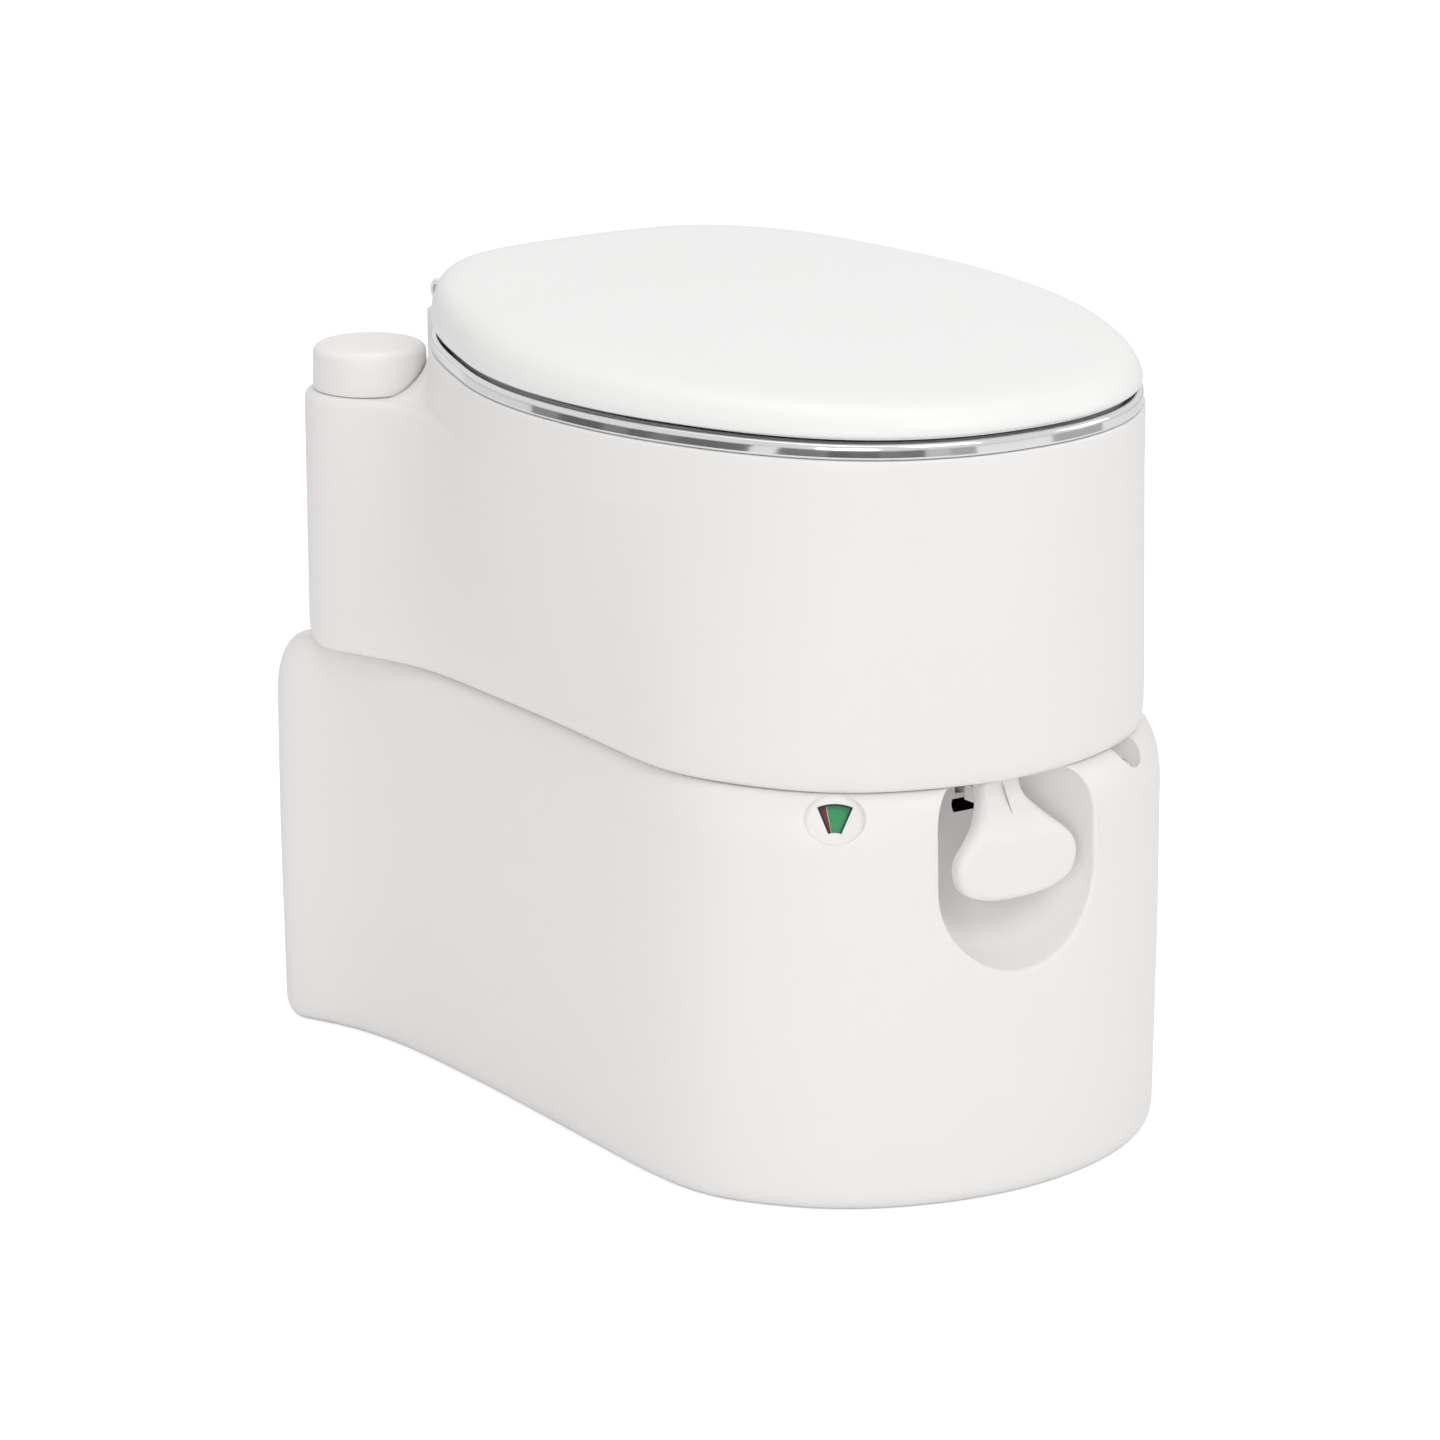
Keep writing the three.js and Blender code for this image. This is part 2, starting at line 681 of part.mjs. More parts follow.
function tank_shell(indicator) {
  const settle = (geometry) => geometry.applyMatrix4(indicator.matrix);
  const hollow = cut(skin(tank_rings(wall)), pull_recess(wall), valve_well(wall), stem_slot(wall),
    rear_alcove(wall), latch_notch(wall), scallop(wall), vent_well(wall), ...indicator_bosses().map(settle));
  const mouth = rod(mouth_radius, -overrun, overrun).translate(0, mouth_y, well_floor_z);
  const spout_hole = rod(spout_radius + turn_play, -overrun, overrun)
    .translate(spout_x, spout_y, alcove_floor_z);
  const vent_hole = rod(vent_stem_radius + clearance, -overrun, overrun, small_sides)
    .translate(vent_x, vent_y, vent_well_z);
  return cut(skin(tank_rings(0)), hollow, pull_recess(0), valve_well(0), stem_slot(0), rear_alcove(0),
    latch_notch(0), scallop(0), vent_well(0), mouth, spout_hole, vent_hole,
    ...indicator_cutters().map(settle));
}

// Four screw places, at the corners of the valve
const screw_x = valve_half_width - valve_guide / 2;
const screw_places = [-1, 1].flatMap((side) =>
  [frame_front_y + screw_inset, frame_rear_y - screw_inset].map((y) => ({ x: side * screw_x, y })));

function screw_holes() {
  return screw_places.flatMap(({ x, y }) => [
    rod(screw_shank_radius + clearance, frame_z + wall / 2, tank_height, small_sides).translate(x, y, 0),
    rod(screw_head_radius + clearance, cover_floor_z - screw_head_height - clearance, tank_height + overrun,
      small_sides).translate(x, y, 0),
  ]);
}

function valve_frame() {
  const body = rounded_block([-valve_half_width, frame_front_y, frame_z],
    [valve_half_width, frame_rear_y, cover_z - clearance], valve_corner);
  const channel = box([-blade_half_width - clearance, frame_front_y + valve_end_wall, frame_floor_z],
    [blade_half_width + clearance, frame_rear_y - valve_end_wall, cover_z + overrun]);
  const stem_gap = box([pull_x - stem_width / 2 - clearance, frame_front_y - overrun, frame_floor_z],
    [pull_x + stem_width / 2 + clearance, frame_front_y + 2 * valve_end_wall, cover_z + overrun]);
  const mouth = rod(mouth_radius, -overrun, overrun).translate(0, mouth_y, frame_z);
  const rebate = rod(mouth_radius + seal_width + clearance, -seal_height - clearance, overrun)
    .translate(0, mouth_y, frame_floor_z);
  return cut(body, channel, stem_gap, mouth, rebate, ...screw_holes());
}

function valve_cover() {
  const body = rounded_block([-valve_half_width, frame_front_y, cover_z],
    [valve_half_width, frame_rear_y, tank_height], valve_corner);
  const dish = cut(
    rounded_block([cover_rim - valve_half_width, frame_front_y + cover_rim, cover_floor_z],
      [valve_half_width - cover_rim, frame_rear_y - cover_rim, tank_height + overrun], valve_corner / 2),
    rod(mouth_radius + seal_width + cover_rim, -overrun, overrun).translate(0, mouth_y, cover_floor_z),
  );
  const mouth = rod(mouth_radius, -overrun, overrun).translate(0, mouth_y, cover_z);
  const rebate = rod(mouth_radius + seal_width + clearance, -seal_height - clearance, overrun)
    .translate(0, mouth_y, tank_height);
  return cut(body, dish, mouth, rebate, ...screw_holes());
}

function slide_blade() {
  const plate = rounded_block([-blade_half_width, blade_front_y, blade_z],
    [blade_half_width, blade_rear_y, blade_z + blade_thickness], valve_corner);
  const stem = box([pull_x - stem_width / 2, paddle_back_y + clearance, blade_z],
    [pull_x + stem_width / 2, blade_front_y + valve_corner, blade_z + blade_thickness]);
  return join(plate, stem);
}

function valve_paddle() {
  const right = new THREE.SplineCurve(paddle_shares.map(([x, z]) =>
    new THREE.Vector2(x * paddle_half_width, z * paddle_height))).getPoints(small_sides);
  const left = right.slice(0, -1).reverse().map((p) => new THREE.Vector2(-p.x, p.y));
  const plate = new THREE.ExtrudeGeometry(new THREE.Shape([...right, ...left]), {
    depth: paddle_thickness - 2 * paddle_bevel,
    bevelThickness: paddle_bevel,
    bevelSize: paddle_bevel,
    bevelOffset: -paddle_bevel,
    bevelSegments: 2,
  });
  plate.rotateX(Math.PI / 2).translate(pull_x, paddle_back_y - paddle_bevel, tank_height - paddle_drop);
  const sleeve = (grow, from_y) => box(
    [pull_x - stem_width / 2 - grow, from_y, blade_z - grow],
    [pull_x + stem_width / 2 + grow, paddle_back_y + socket_length, blade_z + blade_thickness + grow]);
  const bore = sleeve(clearance, paddle_back_y).translate(0, clearance, 0);
  return join(plate, cut(sleeve(socket_wall, paddle_back_y - clearance), bore));
}

const mouth_ring = (top_z) => washer(mouth_radius, mouth_radius + seal_width, top_z - seal_height, top_z)
  .translate(0, mouth_y, 0);

function valve_screw() {
  const shank = rod(screw_shank_radius, cover_floor_z - screw_length, cover_floor_z - clearance, small_sides);
  return join(shank, rod(screw_head_radius, cover_floor_z - screw_head_height, cover_floor_z, small_sides));
}

function add_valve(group) {
  place(group, "valve_frame", valve_frame(), grey_plastic);
  place(group, "valve_cover", valve_cover(), white_plastic);
  place(group, "blade_seal", mouth_ring(frame_floor_z), dark_rubber);
  place(group, "mouth_seal", mouth_ring(tank_height), dark_rubber);
  place(group, "slide_blade", slide_blade(), grey_plastic);
  place(group, "valve_handle", valve_paddle(), white_plastic);
  screw_places.forEach(({ x, y }, i) => {
    place(group, `valve_screw_${i + 1}`, valve_screw(), steel).position.set(x, y, 0);
  });
}

function indicator_dial() {
  const back_y = dial_front_y + dial_thickness;
  const fan = dial_sector(dial_hub_radius / 2, dial_radius, -dial_half_angle - float_travel_angle,
    dial_half_angle, dial_front_y, back_y);
  return join(fan, at_pivot(rod(dial_hub_radius, dial_front_y, back_y, small_sides)));
}

function indicator_lens() {
  const half_angle = window_half_angle - lens_play_angle;
  return dial_sector(window_inner_radius + clearance, window_outer_radius - clearance,
    -half_angle, half_angle, pocket_depth, pocket_depth + lens_thickness);
}

function add_indicator(group) {
  const spindle_y = dial_front_y + dial_thickness + clearance;
  const spindle_end_y = spindle_y + spindle_length;
  const arm_y = spindle_end_y + clearance;
  const float_y = arm_y + float_arm_thickness + clearance;
  place(group, "indicator_lens", indicator_lens(), clear_plastic);
  place(group, "indicator_dial", indicator_dial(), green_plastic);
  const spindle = at_pivot(rod(spindle_radius, spindle_y, spindle_end_y, small_sides));
  place(group, "float_spindle", spindle, grey_plastic);
  const bush = at_pivot(washer(spindle_radius + clearance, bush_radius, chamber_back_y + clearance,
    chamber_back_y + bush_length, small_sides));
  place(group, "spindle_bush", bush, grey_plastic);
  const hanger = group_at(group, 0, 0, -pivot_drop);
  hanger.rotation.y = radians(float_rest_angle);
  const half = float_arm_width / 2;
  const arm = box([-half, arm_y, -float_arm_length], [half, arm_y + float_arm_thickness, half]);
  place(hanger, "float_arm", arm, grey_plastic);
  const float = along_y(rod(float_radius, float_y, float_y + float_length, small_sides));
  place(hanger, "float", float, white_plastic).position.z = -float_arm_length;
}

class Helix extends THREE.Curve {
  constructor(radius, low, high, turns) {
    super();
    Object.assign(this, { radius, low, high, turns });
  }

  getPoint(share, target = new THREE.Vector3()) {
    const angle = 2 * Math.PI * this.turns * share;
    const z = THREE.MathUtils.lerp(this.low, this.high, share);
    return target.set(this.radius * Math.cos(angle), this.radius * Math.sin(angle), z);
  }
}

function add_vent(group) {
  const top = vent_well_depth + vent_head_rise;
  const under = top - vent_head_height;
  const stem_end = -wall - clearance;
  const edge = 2 * clearance;
  place(group, "vent_button", revolve([
    [0, top], [vent_head_radius - edge, top], [vent_head_radius, top - edge], [vent_head_radius, under],
    [vent_stem_radius, under], [vent_stem_radius, stem_end], [0, stem_end],
  ], small_sides), white_plastic);
  const end_gap = clearance + spring_wire_radius;
  const helix = new Helix(spring_radius, end_gap, under - end_gap, spring_turns);
  const spring = tube(helix, spring_wire_radius, spring_turns * spring_steps_per_turn, spring_sides);
  place(group, "vent_spring", spring, steel);
  const plug_top = stem_end - clearance;
  place(group, "vent_plug", rod(vent_plug_radius, plug_top - seal_height, plug_top, small_sides), dark_rubber);
}

// The spout's centre line, from its flange up, round the bend and along to its mouth
function spout_path(extra) {
  const axis_z = clearance + spout_rise + spout_bend;
  const low = new THREE.Vector3(0, 0, axis_z - spout_bend);
  const end = new THREE.Vector3(-spout_bend, 0, axis_z);
  const low_handle = low.clone().setZ(low.z + bend_share * spout_bend);
  const end_handle = end.clone().setX(-spout_bend * (1 - bend_share));
  const path = new THREE.CurvePath();
  path.add(new THREE.LineCurve3(new THREE.Vector3(0, 0, clearance - extra), low));
  path.add(new THREE.CubicBezierCurve3(low, low_handle, end_handle, end));
  path.add(new THREE.LineCurve3(end, new THREE.Vector3(-spout_reach - extra, 0, axis_z)));
  return path;
}

const groove_radius = (spout_flange_radius + spout_radius) / 2;

function pour_spout() {
  const groove_half = o_ring_radius + clearance;
  const neck = join(tube(spout_path(0), spout_radius, spout_steps, round_sides),
    rod(spout_flange_radius, clearance, clearance + spout_flange_height),
    rod(spout_radius, -2 * wall, wall));
  const groove = washer(groove_radius - groove_half, groove_radius + groove_half, clearance - overrun,
    clearance + 2 * groove_half);
  const stub_guard = rod(spout_radius, -overrun, overrun);
  return cut(neck, tube(spout_path(overrun), spout_bore, spout_steps, round_sides), cut(groove, stub_guard));
}

// The ribbed cap, from its open side at zero down to its closed end
function spout_cap() {
  const inside = cap_grip + seal_height + 2 * clearance;
  const radius = spout_radius + turn_play + cap_wall;
  const shape = new THREE.Shape(Array.from({ length: 2 * cap_rib_count }, (_, i) => {
    const angle = (Math.PI * i) / cap_rib_count;
    const reach = i % 2 ? radius : radius + cap_rib_depth;
    return new THREE.Vector2(reach * Math.cos(angle), reach * Math.sin(angle));
  }));
  const body = new THREE.ExtrudeGeometry(shape, { depth: inside + cap_wall, bevelEnabled: false });
  return cut(body.translate(0, 0, -inside - cap_wall), rod(spout_radius + turn_play, -inside, overrun));
}

function add_spout(group) {
  place(group, "pour_spout", pour_spout(), grey_plastic);
  const o_ring = new THREE.TorusGeometry(groove_radius, o_ring_radius, o_ring_sides, round_sides);
  place(group, "spout_o_ring", o_ring, dark_rubber).position.z = clearance + o_ring_radius;
  const lip_z = clearance + spout_flange_height + clearance;
  const bore = spout_flange_radius + turn_play;
  const neck_bore = spout_radius + turn_play;
  place(group, "spout_retainer", revolve([
    [neck_bore, lip_z], [bore, lip_z], [bore, clearance], [retainer_radius, clearance],
    [retainer_radius, lip_z + retainer_lip], [neck_bore, lip_z + retainer_lip],
  ]), grey_plastic);
  const end = group_at(group, -spout_reach, 0, clearance + spout_rise + spout_bend);
  end.rotation.y = Math.PI / 2;
  place(end, "spout_cap_seal", washer(spout_bore, spout_radius, -clearance - seal_height, -clearance),
    dark_rubber);
  place(end, "spout_cap", spout_cap(), grey_plastic).position.z = cap_grip;
}

function dock_latch() {
  const slab = box([-latch_half_width, 0, clearance],
    [latch_half_width, latch_length, latch_floor_drop - clearance]);
  const riser = box([-latch_half_width, latch_riser_set_back, clearance],
    [latch_half_width, latch_length, latch_height]);
  const nose = box([-latch_nose_half_width, 0, latch_height - latch_nose_height],
    [latch_nose_half_width, latch_length, latch_height]);
  return join(slab, riser, nose);
}

// The flush tank's outside or, with a thickness, its inside
function flush_rings(thickness) {
  const rim = inset(rim_outline, thickness);
  const deck = (d) => widest(rim, inset(deck_outline, d + thickness));
  const rings = quarter(foot_inset, foot_round - thickness, thickness ? 1 : 2)
    .map(([d, z]) => lift(inset(foot_outline, d + thickness), flush_floor_z + thickness + z));
  rings.push(lift(inset(foot_outline, thickness), flush_floor_z + waist_rise));
  for (const [d, z] of quarter(deck_inset, deck_round, thickness ? 1 : 2).reverse()) {
    rings.push(lift(deck(d), deck_z - thickness - z));
  }
  for (const [height_share, weight] of swell_shares.slice(0, thickness ? 2 : swell_shares.length)) {
    const z = deck_z - thickness + height_share * (rim_z - deck_z);
    rings.push(lift(widest(rim, mix(rim, deck(deck_inset), weight)), z));
  }
  rings.push(lift(rim, rim_z - thickness));
  return rings;
}

const mouth_oval = oval(mouth_radius, mouth_y - mouth_radius, mouth_y + mouth_radius);
const bowl_oval = oval(bowl_half_width, bowl_front_y, bowl_rear_y);

function bowl(grow) {
  const middle = bowl_shares.map(([depth_share, weight]) => {
    const z = flange_z - depth_share * (flange_z - flush_floor_z);
    return lift(inset(mix(mouth_oval, bowl_oval, weight), -grow), z);
  });
  const top = lift(inset(bowl_oval, -grow), flange_z + overrun);
  const bottom = lift(inset(mouth_oval, -grow), flush_floor_z - overrun);
  return skin([top, ...middle, bottom]);
}

// Where the rear of the bowl lies at a height
function bowl_rear_at(z) {
  const depth_share = (flange_z - z) / (flange_z - flush_floor_z);
  const i = bowl_shares.findIndex(([share]) => share >= depth_share);
  const [[from, high], [to, low]] = [bowl_shares[i - 1], bowl_shares[i]];
  const weight = THREE.MathUtils.mapLinear(depth_share, from, to, high, low);
  return THREE.MathUtils.lerp(mouth_y + mouth_radius, bowl_rear_y, weight);
}

// The pocket in the rear left pillar that takes the latch's nose
function nose_pocket(grow) {
  const margin = latch_pocket_play + grow;
  const half = latch_nose_half_width + margin;
  const nose_top_z = latch_floor_z + latch_height;
  const low = [latch_x - half, latch_front_y - latch_travel - margin, nose_top_z - latch_nose_height - margin];
  return box(low, [latch_x + half, latch_front_y + overrun, nose_top_z + margin]);
}

function flush_shell() {
  const flange = inset(rim_outline, trim_inset + trim_width + clearance);
  const outside = skin([...flush_rings(0), lift(flange, rim_z), lift(flange, flange_z)]);
  const ledge_front_y = hinge_y - bracket_half_depth;
  const ledge_rear_y = hinge_y + bracket_half_depth;
  const ledge = rounded_block([-ledge_half_width, ledge_front_y, rim_z - wall],
    [ledge_half_width, ledge_rear_y, ledge_z], ledge_corner);
  const under_ledge = rounded_block([-ledge_half_width, ledge_front_y - overrun, deck_z - wall / 2],
    [ledge_half_width, ledge_rear_y, rim_z], ledge_corner);
  const at_pillar = (side, geometry) => geometry.translate(side * pillar_x, pillar_y, deck_z);
  const cap_seats = [-1, 1].map((side) => at_pillar(side, rod(filler_cap_radius + turn_play, 0, overrun)));
  const neck = at_pillar(-1, rod(filler_neck_radius, -wall / 2, filler_neck_height));
  const filler_bore = at_pillar(-1, rod(filler_neck_bore, -overrun, overrun));
  const pump_hole = at_pillar(1, rod(pump_barrel_radius + clearance, -overrun, overrun));
  const bowl_y = bowl_rear_at(nozzle_z);
  const nozzle_hole = along_y(rod(nozzle_radius + clearance, bowl_y - overrun, bowl_y + overrun, small_sides))
    .translate(0, 0, nozzle_z);
  const hollow = cut(skin(flush_rings(wall)), bowl(wall), nose_pocket(wall));
  const seated = cut(join(outside, ledge, under_ledge), ...cap_seats);
  return cut(join(seated, neck), hollow, bowl(0), filler_bore, pump_hole, nozzle_hole, nose_pocket(0));
}

function trim_ring() {
  const low_z = rim_z + clearance;
  const height = trim_height - clearance;
  const outer = trim_bulge_shares.map(([share, height_share]) =>
    lift(inset(rim_outline, trim_inset + share * trim_width), low_z + height_share * height));
  const inner = inset(rim_outline, trim_inset + trim_width);
  return skin([...outer, lift(inner, rim_z + trim_height), lift(inner, low_z)], true);
}

const pin_holes = () => [-1, 1].map((side) => {
  const [low, high] = stretch(side, hinge_pin_x - overrun, hinge_pin_length + 2 * overrun);
  return along_x(rod(hinge_pin_radius + clearance, low, high, small_sides)).translate(0, hinge_y, hinge_z);
});

// A hinge knuckle with the arm that reaches it from the rear of the seat or the lid
function knuckle(side, x, width, reach, arm_z) {
  const [low, high] = stretch(side, x, width);
  const barrel = along_x(rod(knuckle_radius, low, high, small_sides)).translate(0, hinge_y, hinge_z);
  return join(barrel, box([low, hinge_y - reach, arm_z], [high, hinge_y, hinge_z + knuckle_radius / 2]));
}

function seat_ring() {
  const edge = inset(rim_outline, seat_inset);
  const hole = oval(bowl_half_width - seat_hole_side_lap, bowl_front_y + seat_hole_front_lap,
    bowl_rear_y - seat_hole_rear_lap);
  const level = (ring, sign) => ([share, height_share]) =>
    lift(inset(ring, sign * share * seat_thickness), seat_z + height_share * seat_thickness);
  const rings = [...seat_outer_shares.map(level(edge, 1)), ...seat_inner_shares.map(level(hole, -1))];
  const knuckles = [-1, 1].map((side) =>
    knuckle(side, seat_knuckle_x, seat_knuckle_width, seat_knuckle_reach, seat_z + clearance));
  return cut(join(skin(rings, true), ...knuckles), ...pin_holes());
}

// The lid stands higher at the rear than in front.
const lid_height_at = (y) => lid_height * (1 + (lid_rise_share * y) / half_length);

function lid_shell() {
  const edge = inset(rim_outline, lid_inset);
  const inner_edge = inset(edge, lid_wall);
  const dome = (ring, shares, drop) => shares.map(([share, height_share]) =>
    shrink(ring, lid_centre_y, share).map(({ x, y }) =>
      new THREE.Vector3(x, y, lid_z + height_share * lid_height_at(y) - drop)));
  const outside = skin(dome(edge, lid_shares, 0));
  const hollow = skin([lift(inner_edge, lid_z - overrun), ...dome(inner_edge, lid_hollow_shares, lid_wall)]);
  const boss_z = seat_top_z + lid_bumper_height + 2 * clearance;
  const bosses = [-1, 1].map((side) => overlap(outside,
    rod(lid_boss_radius, boss_z, lid_z + lid_height).translate(side * lid_bumper_x, lid_bumper_y, 0)));
  const knuckles = [-1, 1].map((side) =>
    knuckle(side, lid_knuckle_x, lid_knuckle_width, lid_knuckle_reach, lid_z));
  const rear_y = rear_of(edge);
  const notches = [-1, 1].map((side) => {
    const [low, high] = stretch(side, seat_knuckle_x - notch_play, seat_knuckle_width + 2 * notch_play);
    return box([low, rear_y - overrun, lid_z - overrun], [high, rear_y + overrun, lid_z + notch_height]);
  });
  return cut(join(cut(outside, hollow), ...bosses, ...knuckles), ...notches, ...pin_holes());
}

function hinge_bracket() {
  const post = box([0, -bracket_half_depth, ledge_z + clearance - hinge_z],
    [bracket_width, bracket_half_depth, 0]);
  const head = along_x(rod(bracket_half_depth, 0, bracket_width, small_sides));
  return cut(join(post, head), along_x(rod(hinge_pin_radius + clearance, -overrun, overrun, small_sides)));
}

function add_filler(group) {
  const [radius, top] = [filler_cap_radius, filler_cap_height];
  const seal_z = filler_neck_height + clearance;
  place(group, "filler_cap_seal", washer(filler_neck_bore, filler_neck_radius, seal_z, seal_z + seal_height),
    dark_rubber);
  place(group, "filler_cap", revolve([
    [0, top], [radius - filler_cap_edge, top], [radius - filler_cap_edge / 3, top - filler_cap_edge / 3],
    [radius, top - filler_cap_edge], [radius, clearance], [radius - filler_cap_wall, clearance],
    [radius - filler_cap_wall, top - filler_cap_wall], [0, top - filler_cap_wall],
  ]), white_plastic);
}

function add_pump(group) {
  const base_z = -pump_barrel_length;
  const flange_top = clearance + pump_flange_height;
  place(group, "pump_cylinder", revolve([
    [pump_barrel_bore, base_z], [pump_barrel_radius, base_z], [pump_barrel_radius, clearance],
    [pump_flange_radius, clearance], [pump_flange_radius, flange_top], [pump_barrel_bore, flange_top],
  ]), grey_plastic);
  const collar_top = collar_z + pump_collar_height;
  const bore = pump_rod_radius + clearance;
  const flange_bore = pump_flange_radius + clearance;
  place(group, "pump_collar", revolve([
    [bore, collar_z], [flange_bore, collar_z], [flange_bore, clearance], [pump_collar_radius, clearance],
    [pump_collar_radius, collar_top - pump_collar_edge], [pump_collar_radius - pump_collar_edge, collar_top],
    [bore, collar_top],
  ]), white_plastic);
  const socket_top = knob_z + pump_knob_socket;
  const knob_top = knob_z + pump_knob_height;
  const knob_edge_radius = pump_knob_radius - pump_knob_edge;
  place(group, "pump_knob", revolve([
    [0, socket_top], [bore, socket_top], [bore, knob_z], [knob_edge_radius, knob_z],
    [pump_knob_radius, knob_z + pump_knob_edge], [pump_knob_radius, knob_top - pump_knob_edge],
    [knob_edge_radius, knob_top], [0, knob_top],
  ]), white_plastic);
  const piston_top = piston_z + pump_piston_height;
  const shaft = rod(pump_rod_radius, piston_top + clearance, socket_top - clearance, small_sides);
  place(group, "pump_rod", shaft, grey_plastic);
  const radius = pump_barrel_bore - 2 * clearance;
  const groove = radius - piston_groove_depth;
  const groove_low = piston_z + (pump_piston_height - piston_groove_height) / 2;
  const groove_high = groove_low + piston_groove_height;
  place(group, "pump_piston", revolve([
    [0, piston_z], [radius, piston_z], [radius, groove_low], [groove, groove_low], [groove, groove_high],
    [radius, groove_high], [radius, piston_top], [0, piston_top],
  ], small_sides), grey_plastic);
  place(group, "piston_seal", washer(groove + clearance, pump_barrel_bore - clearance, groove_low + clearance,
    groove_high - clearance, small_sides), dark_rubber);
  place(group, "pump_foot_valve", washer(foot_valve_bore, pump_barrel_bore - clearance, base_z,
    base_z + foot_valve_height, small_sides), grey_plastic);
}

// The nozzle at the rear of the bowl, and the hose that feeds it from the pump's barrel
function add_rinse(group) {
  const nozzle_rear_y = bowl_rear_at(nozzle_z) + nozzle_length / 2 + wall;
  const nozzle = along_y(rod(nozzle_radius, nozzle_rear_y - nozzle_length, nozzle_rear_y, small_sides));
  place(group, "rinse_nozzle", nozzle, grey_plastic).position.z = nozzle_z;
  const lead = 2 * hose_radius;
  const start = new THREE.Vector3(pillar_x - pump_barrel_radius - clearance, pillar_y, deck_z - hose_drop);
  const end = new THREE.Vector3(0, nozzle_rear_y + clearance, nozzle_z);
  const middle = start.clone().lerp(end, 1 / 2).setY(pillar_y);
  middle.z -= hose_sag_share * start.x;
  const path = new THREE.CatmullRomCurve3([
    start,
    start.clone().setX(start.x - lead),
    middle,
    end.clone().setY(end.y + lead),
    end,
  ]);
  place(group, "rinse_hose", tube(path, hose_radius, hose_steps, hose_sides), grey_plastic);
}

function add_hinge(group) {
  for (const [side, label] of [[-1, "left"], [1, "right"]]) {
    const bracket = place(group, `hinge_bracket_${label}`, hinge_bracket(), white_plastic);
    bracket.position.x = stretch(side, bracket_x, bracket_width)[0];
    const [low, high] = stretch(side, hinge_pin_x, hinge_pin_length);
    place(group, `hinge_pin_${label}`, along_x(rod(hinge_pin_radius, low, high, small_sides)), steel);
  }
}

function add_bumpers(group) {
  const bearing = mix(inset(rim_outline, seat_inset), bowl_oval, 1 / 2);
  const spots = seat_bumper_spokes.flatMap((i) => [bearing[i], bearing.at(-i)]);
  spots.forEach(({ x, y }, i) => {
    const pad = rod(bumper_radius, flange_z + clearance, seat_z - clearance, small_sides);
    place(group, `seat_bumper_${i + 1}`, pad, dark_rubber).position.set(x, y, 0);
  });
  [-1, 1].forEach((side, i) => {
    const foot_z = seat_top_z + clearance;
    const foot = rod(bumper_radius, foot_z, foot_z + lid_bumper_height, small_sides);
    place(group, `lid_bumper_${i + 1}`, foot, dark_rubber).position.set(side * lid_bumper_x, lid_bumper_y, 0);
  });
}

const toilet = new THREE.Group();

const waste_unit = group_at(toilet, 0, 0, 0);
const indicator = group_at(waste_unit, indicator_x, indicator_y, indicator_z);
indicator.rotation.set(-radians(indicator_tilt), 0, -radians(indicator_turn), "ZXY");
indicator.updateMatrix();
place(waste_unit, "waste_tank", tank_shell(indicator), white_plastic);
add_valve(waste_unit);
add_indicator(indicator);
add_vent(group_at(waste_unit, vent_x, vent_y, vent_well_z));
add_spout(group_at(waste_unit, spout_x, spout_y, alcove_floor_z));
place(group_at(waste_unit, latch_x, latch_front_y, latch_floor_z), "dock_latch", dock_latch(), grey_plastic);

const upper_unit = group_at(toilet, 0, 0, 0);
place(upper_unit, "flush_tank", flush_shell(), white_plastic);
place(upper_unit, "trim_ring", trim_ring(), chrome);
add_filler(group_at(upper_unit, -pillar_x, pillar_y, deck_z));
add_pump(group_at(upper_unit, pillar_x, pillar_y, deck_z));
add_rinse(upper_unit);
add_hinge(group_at(upper_unit, 0, hinge_y, hinge_z));
place(upper_unit, "seat", seat_ring(), white_plastic);
place(upper_unit, "lid", lid_shell(), white_plastic);
add_bumpers(upper_unit);

export default toilet;
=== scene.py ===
# %% [markdown]
# # A camping toilet in white plastic
#
# The real object is two moulded tanks that sit on each other: a waste tank below, and above it a flush tank
# with a bowl, a seat and a lid. This lesson loads the engineering model as a frame, and then models each
# visible piece again with round edges and smooth outlines, so that light runs over it as it does over
# moulded plastic. Every piece stays where the frame says.

import bisect
import json
import math

import bmesh
import bpy
from mathutils import Matrix, Vector


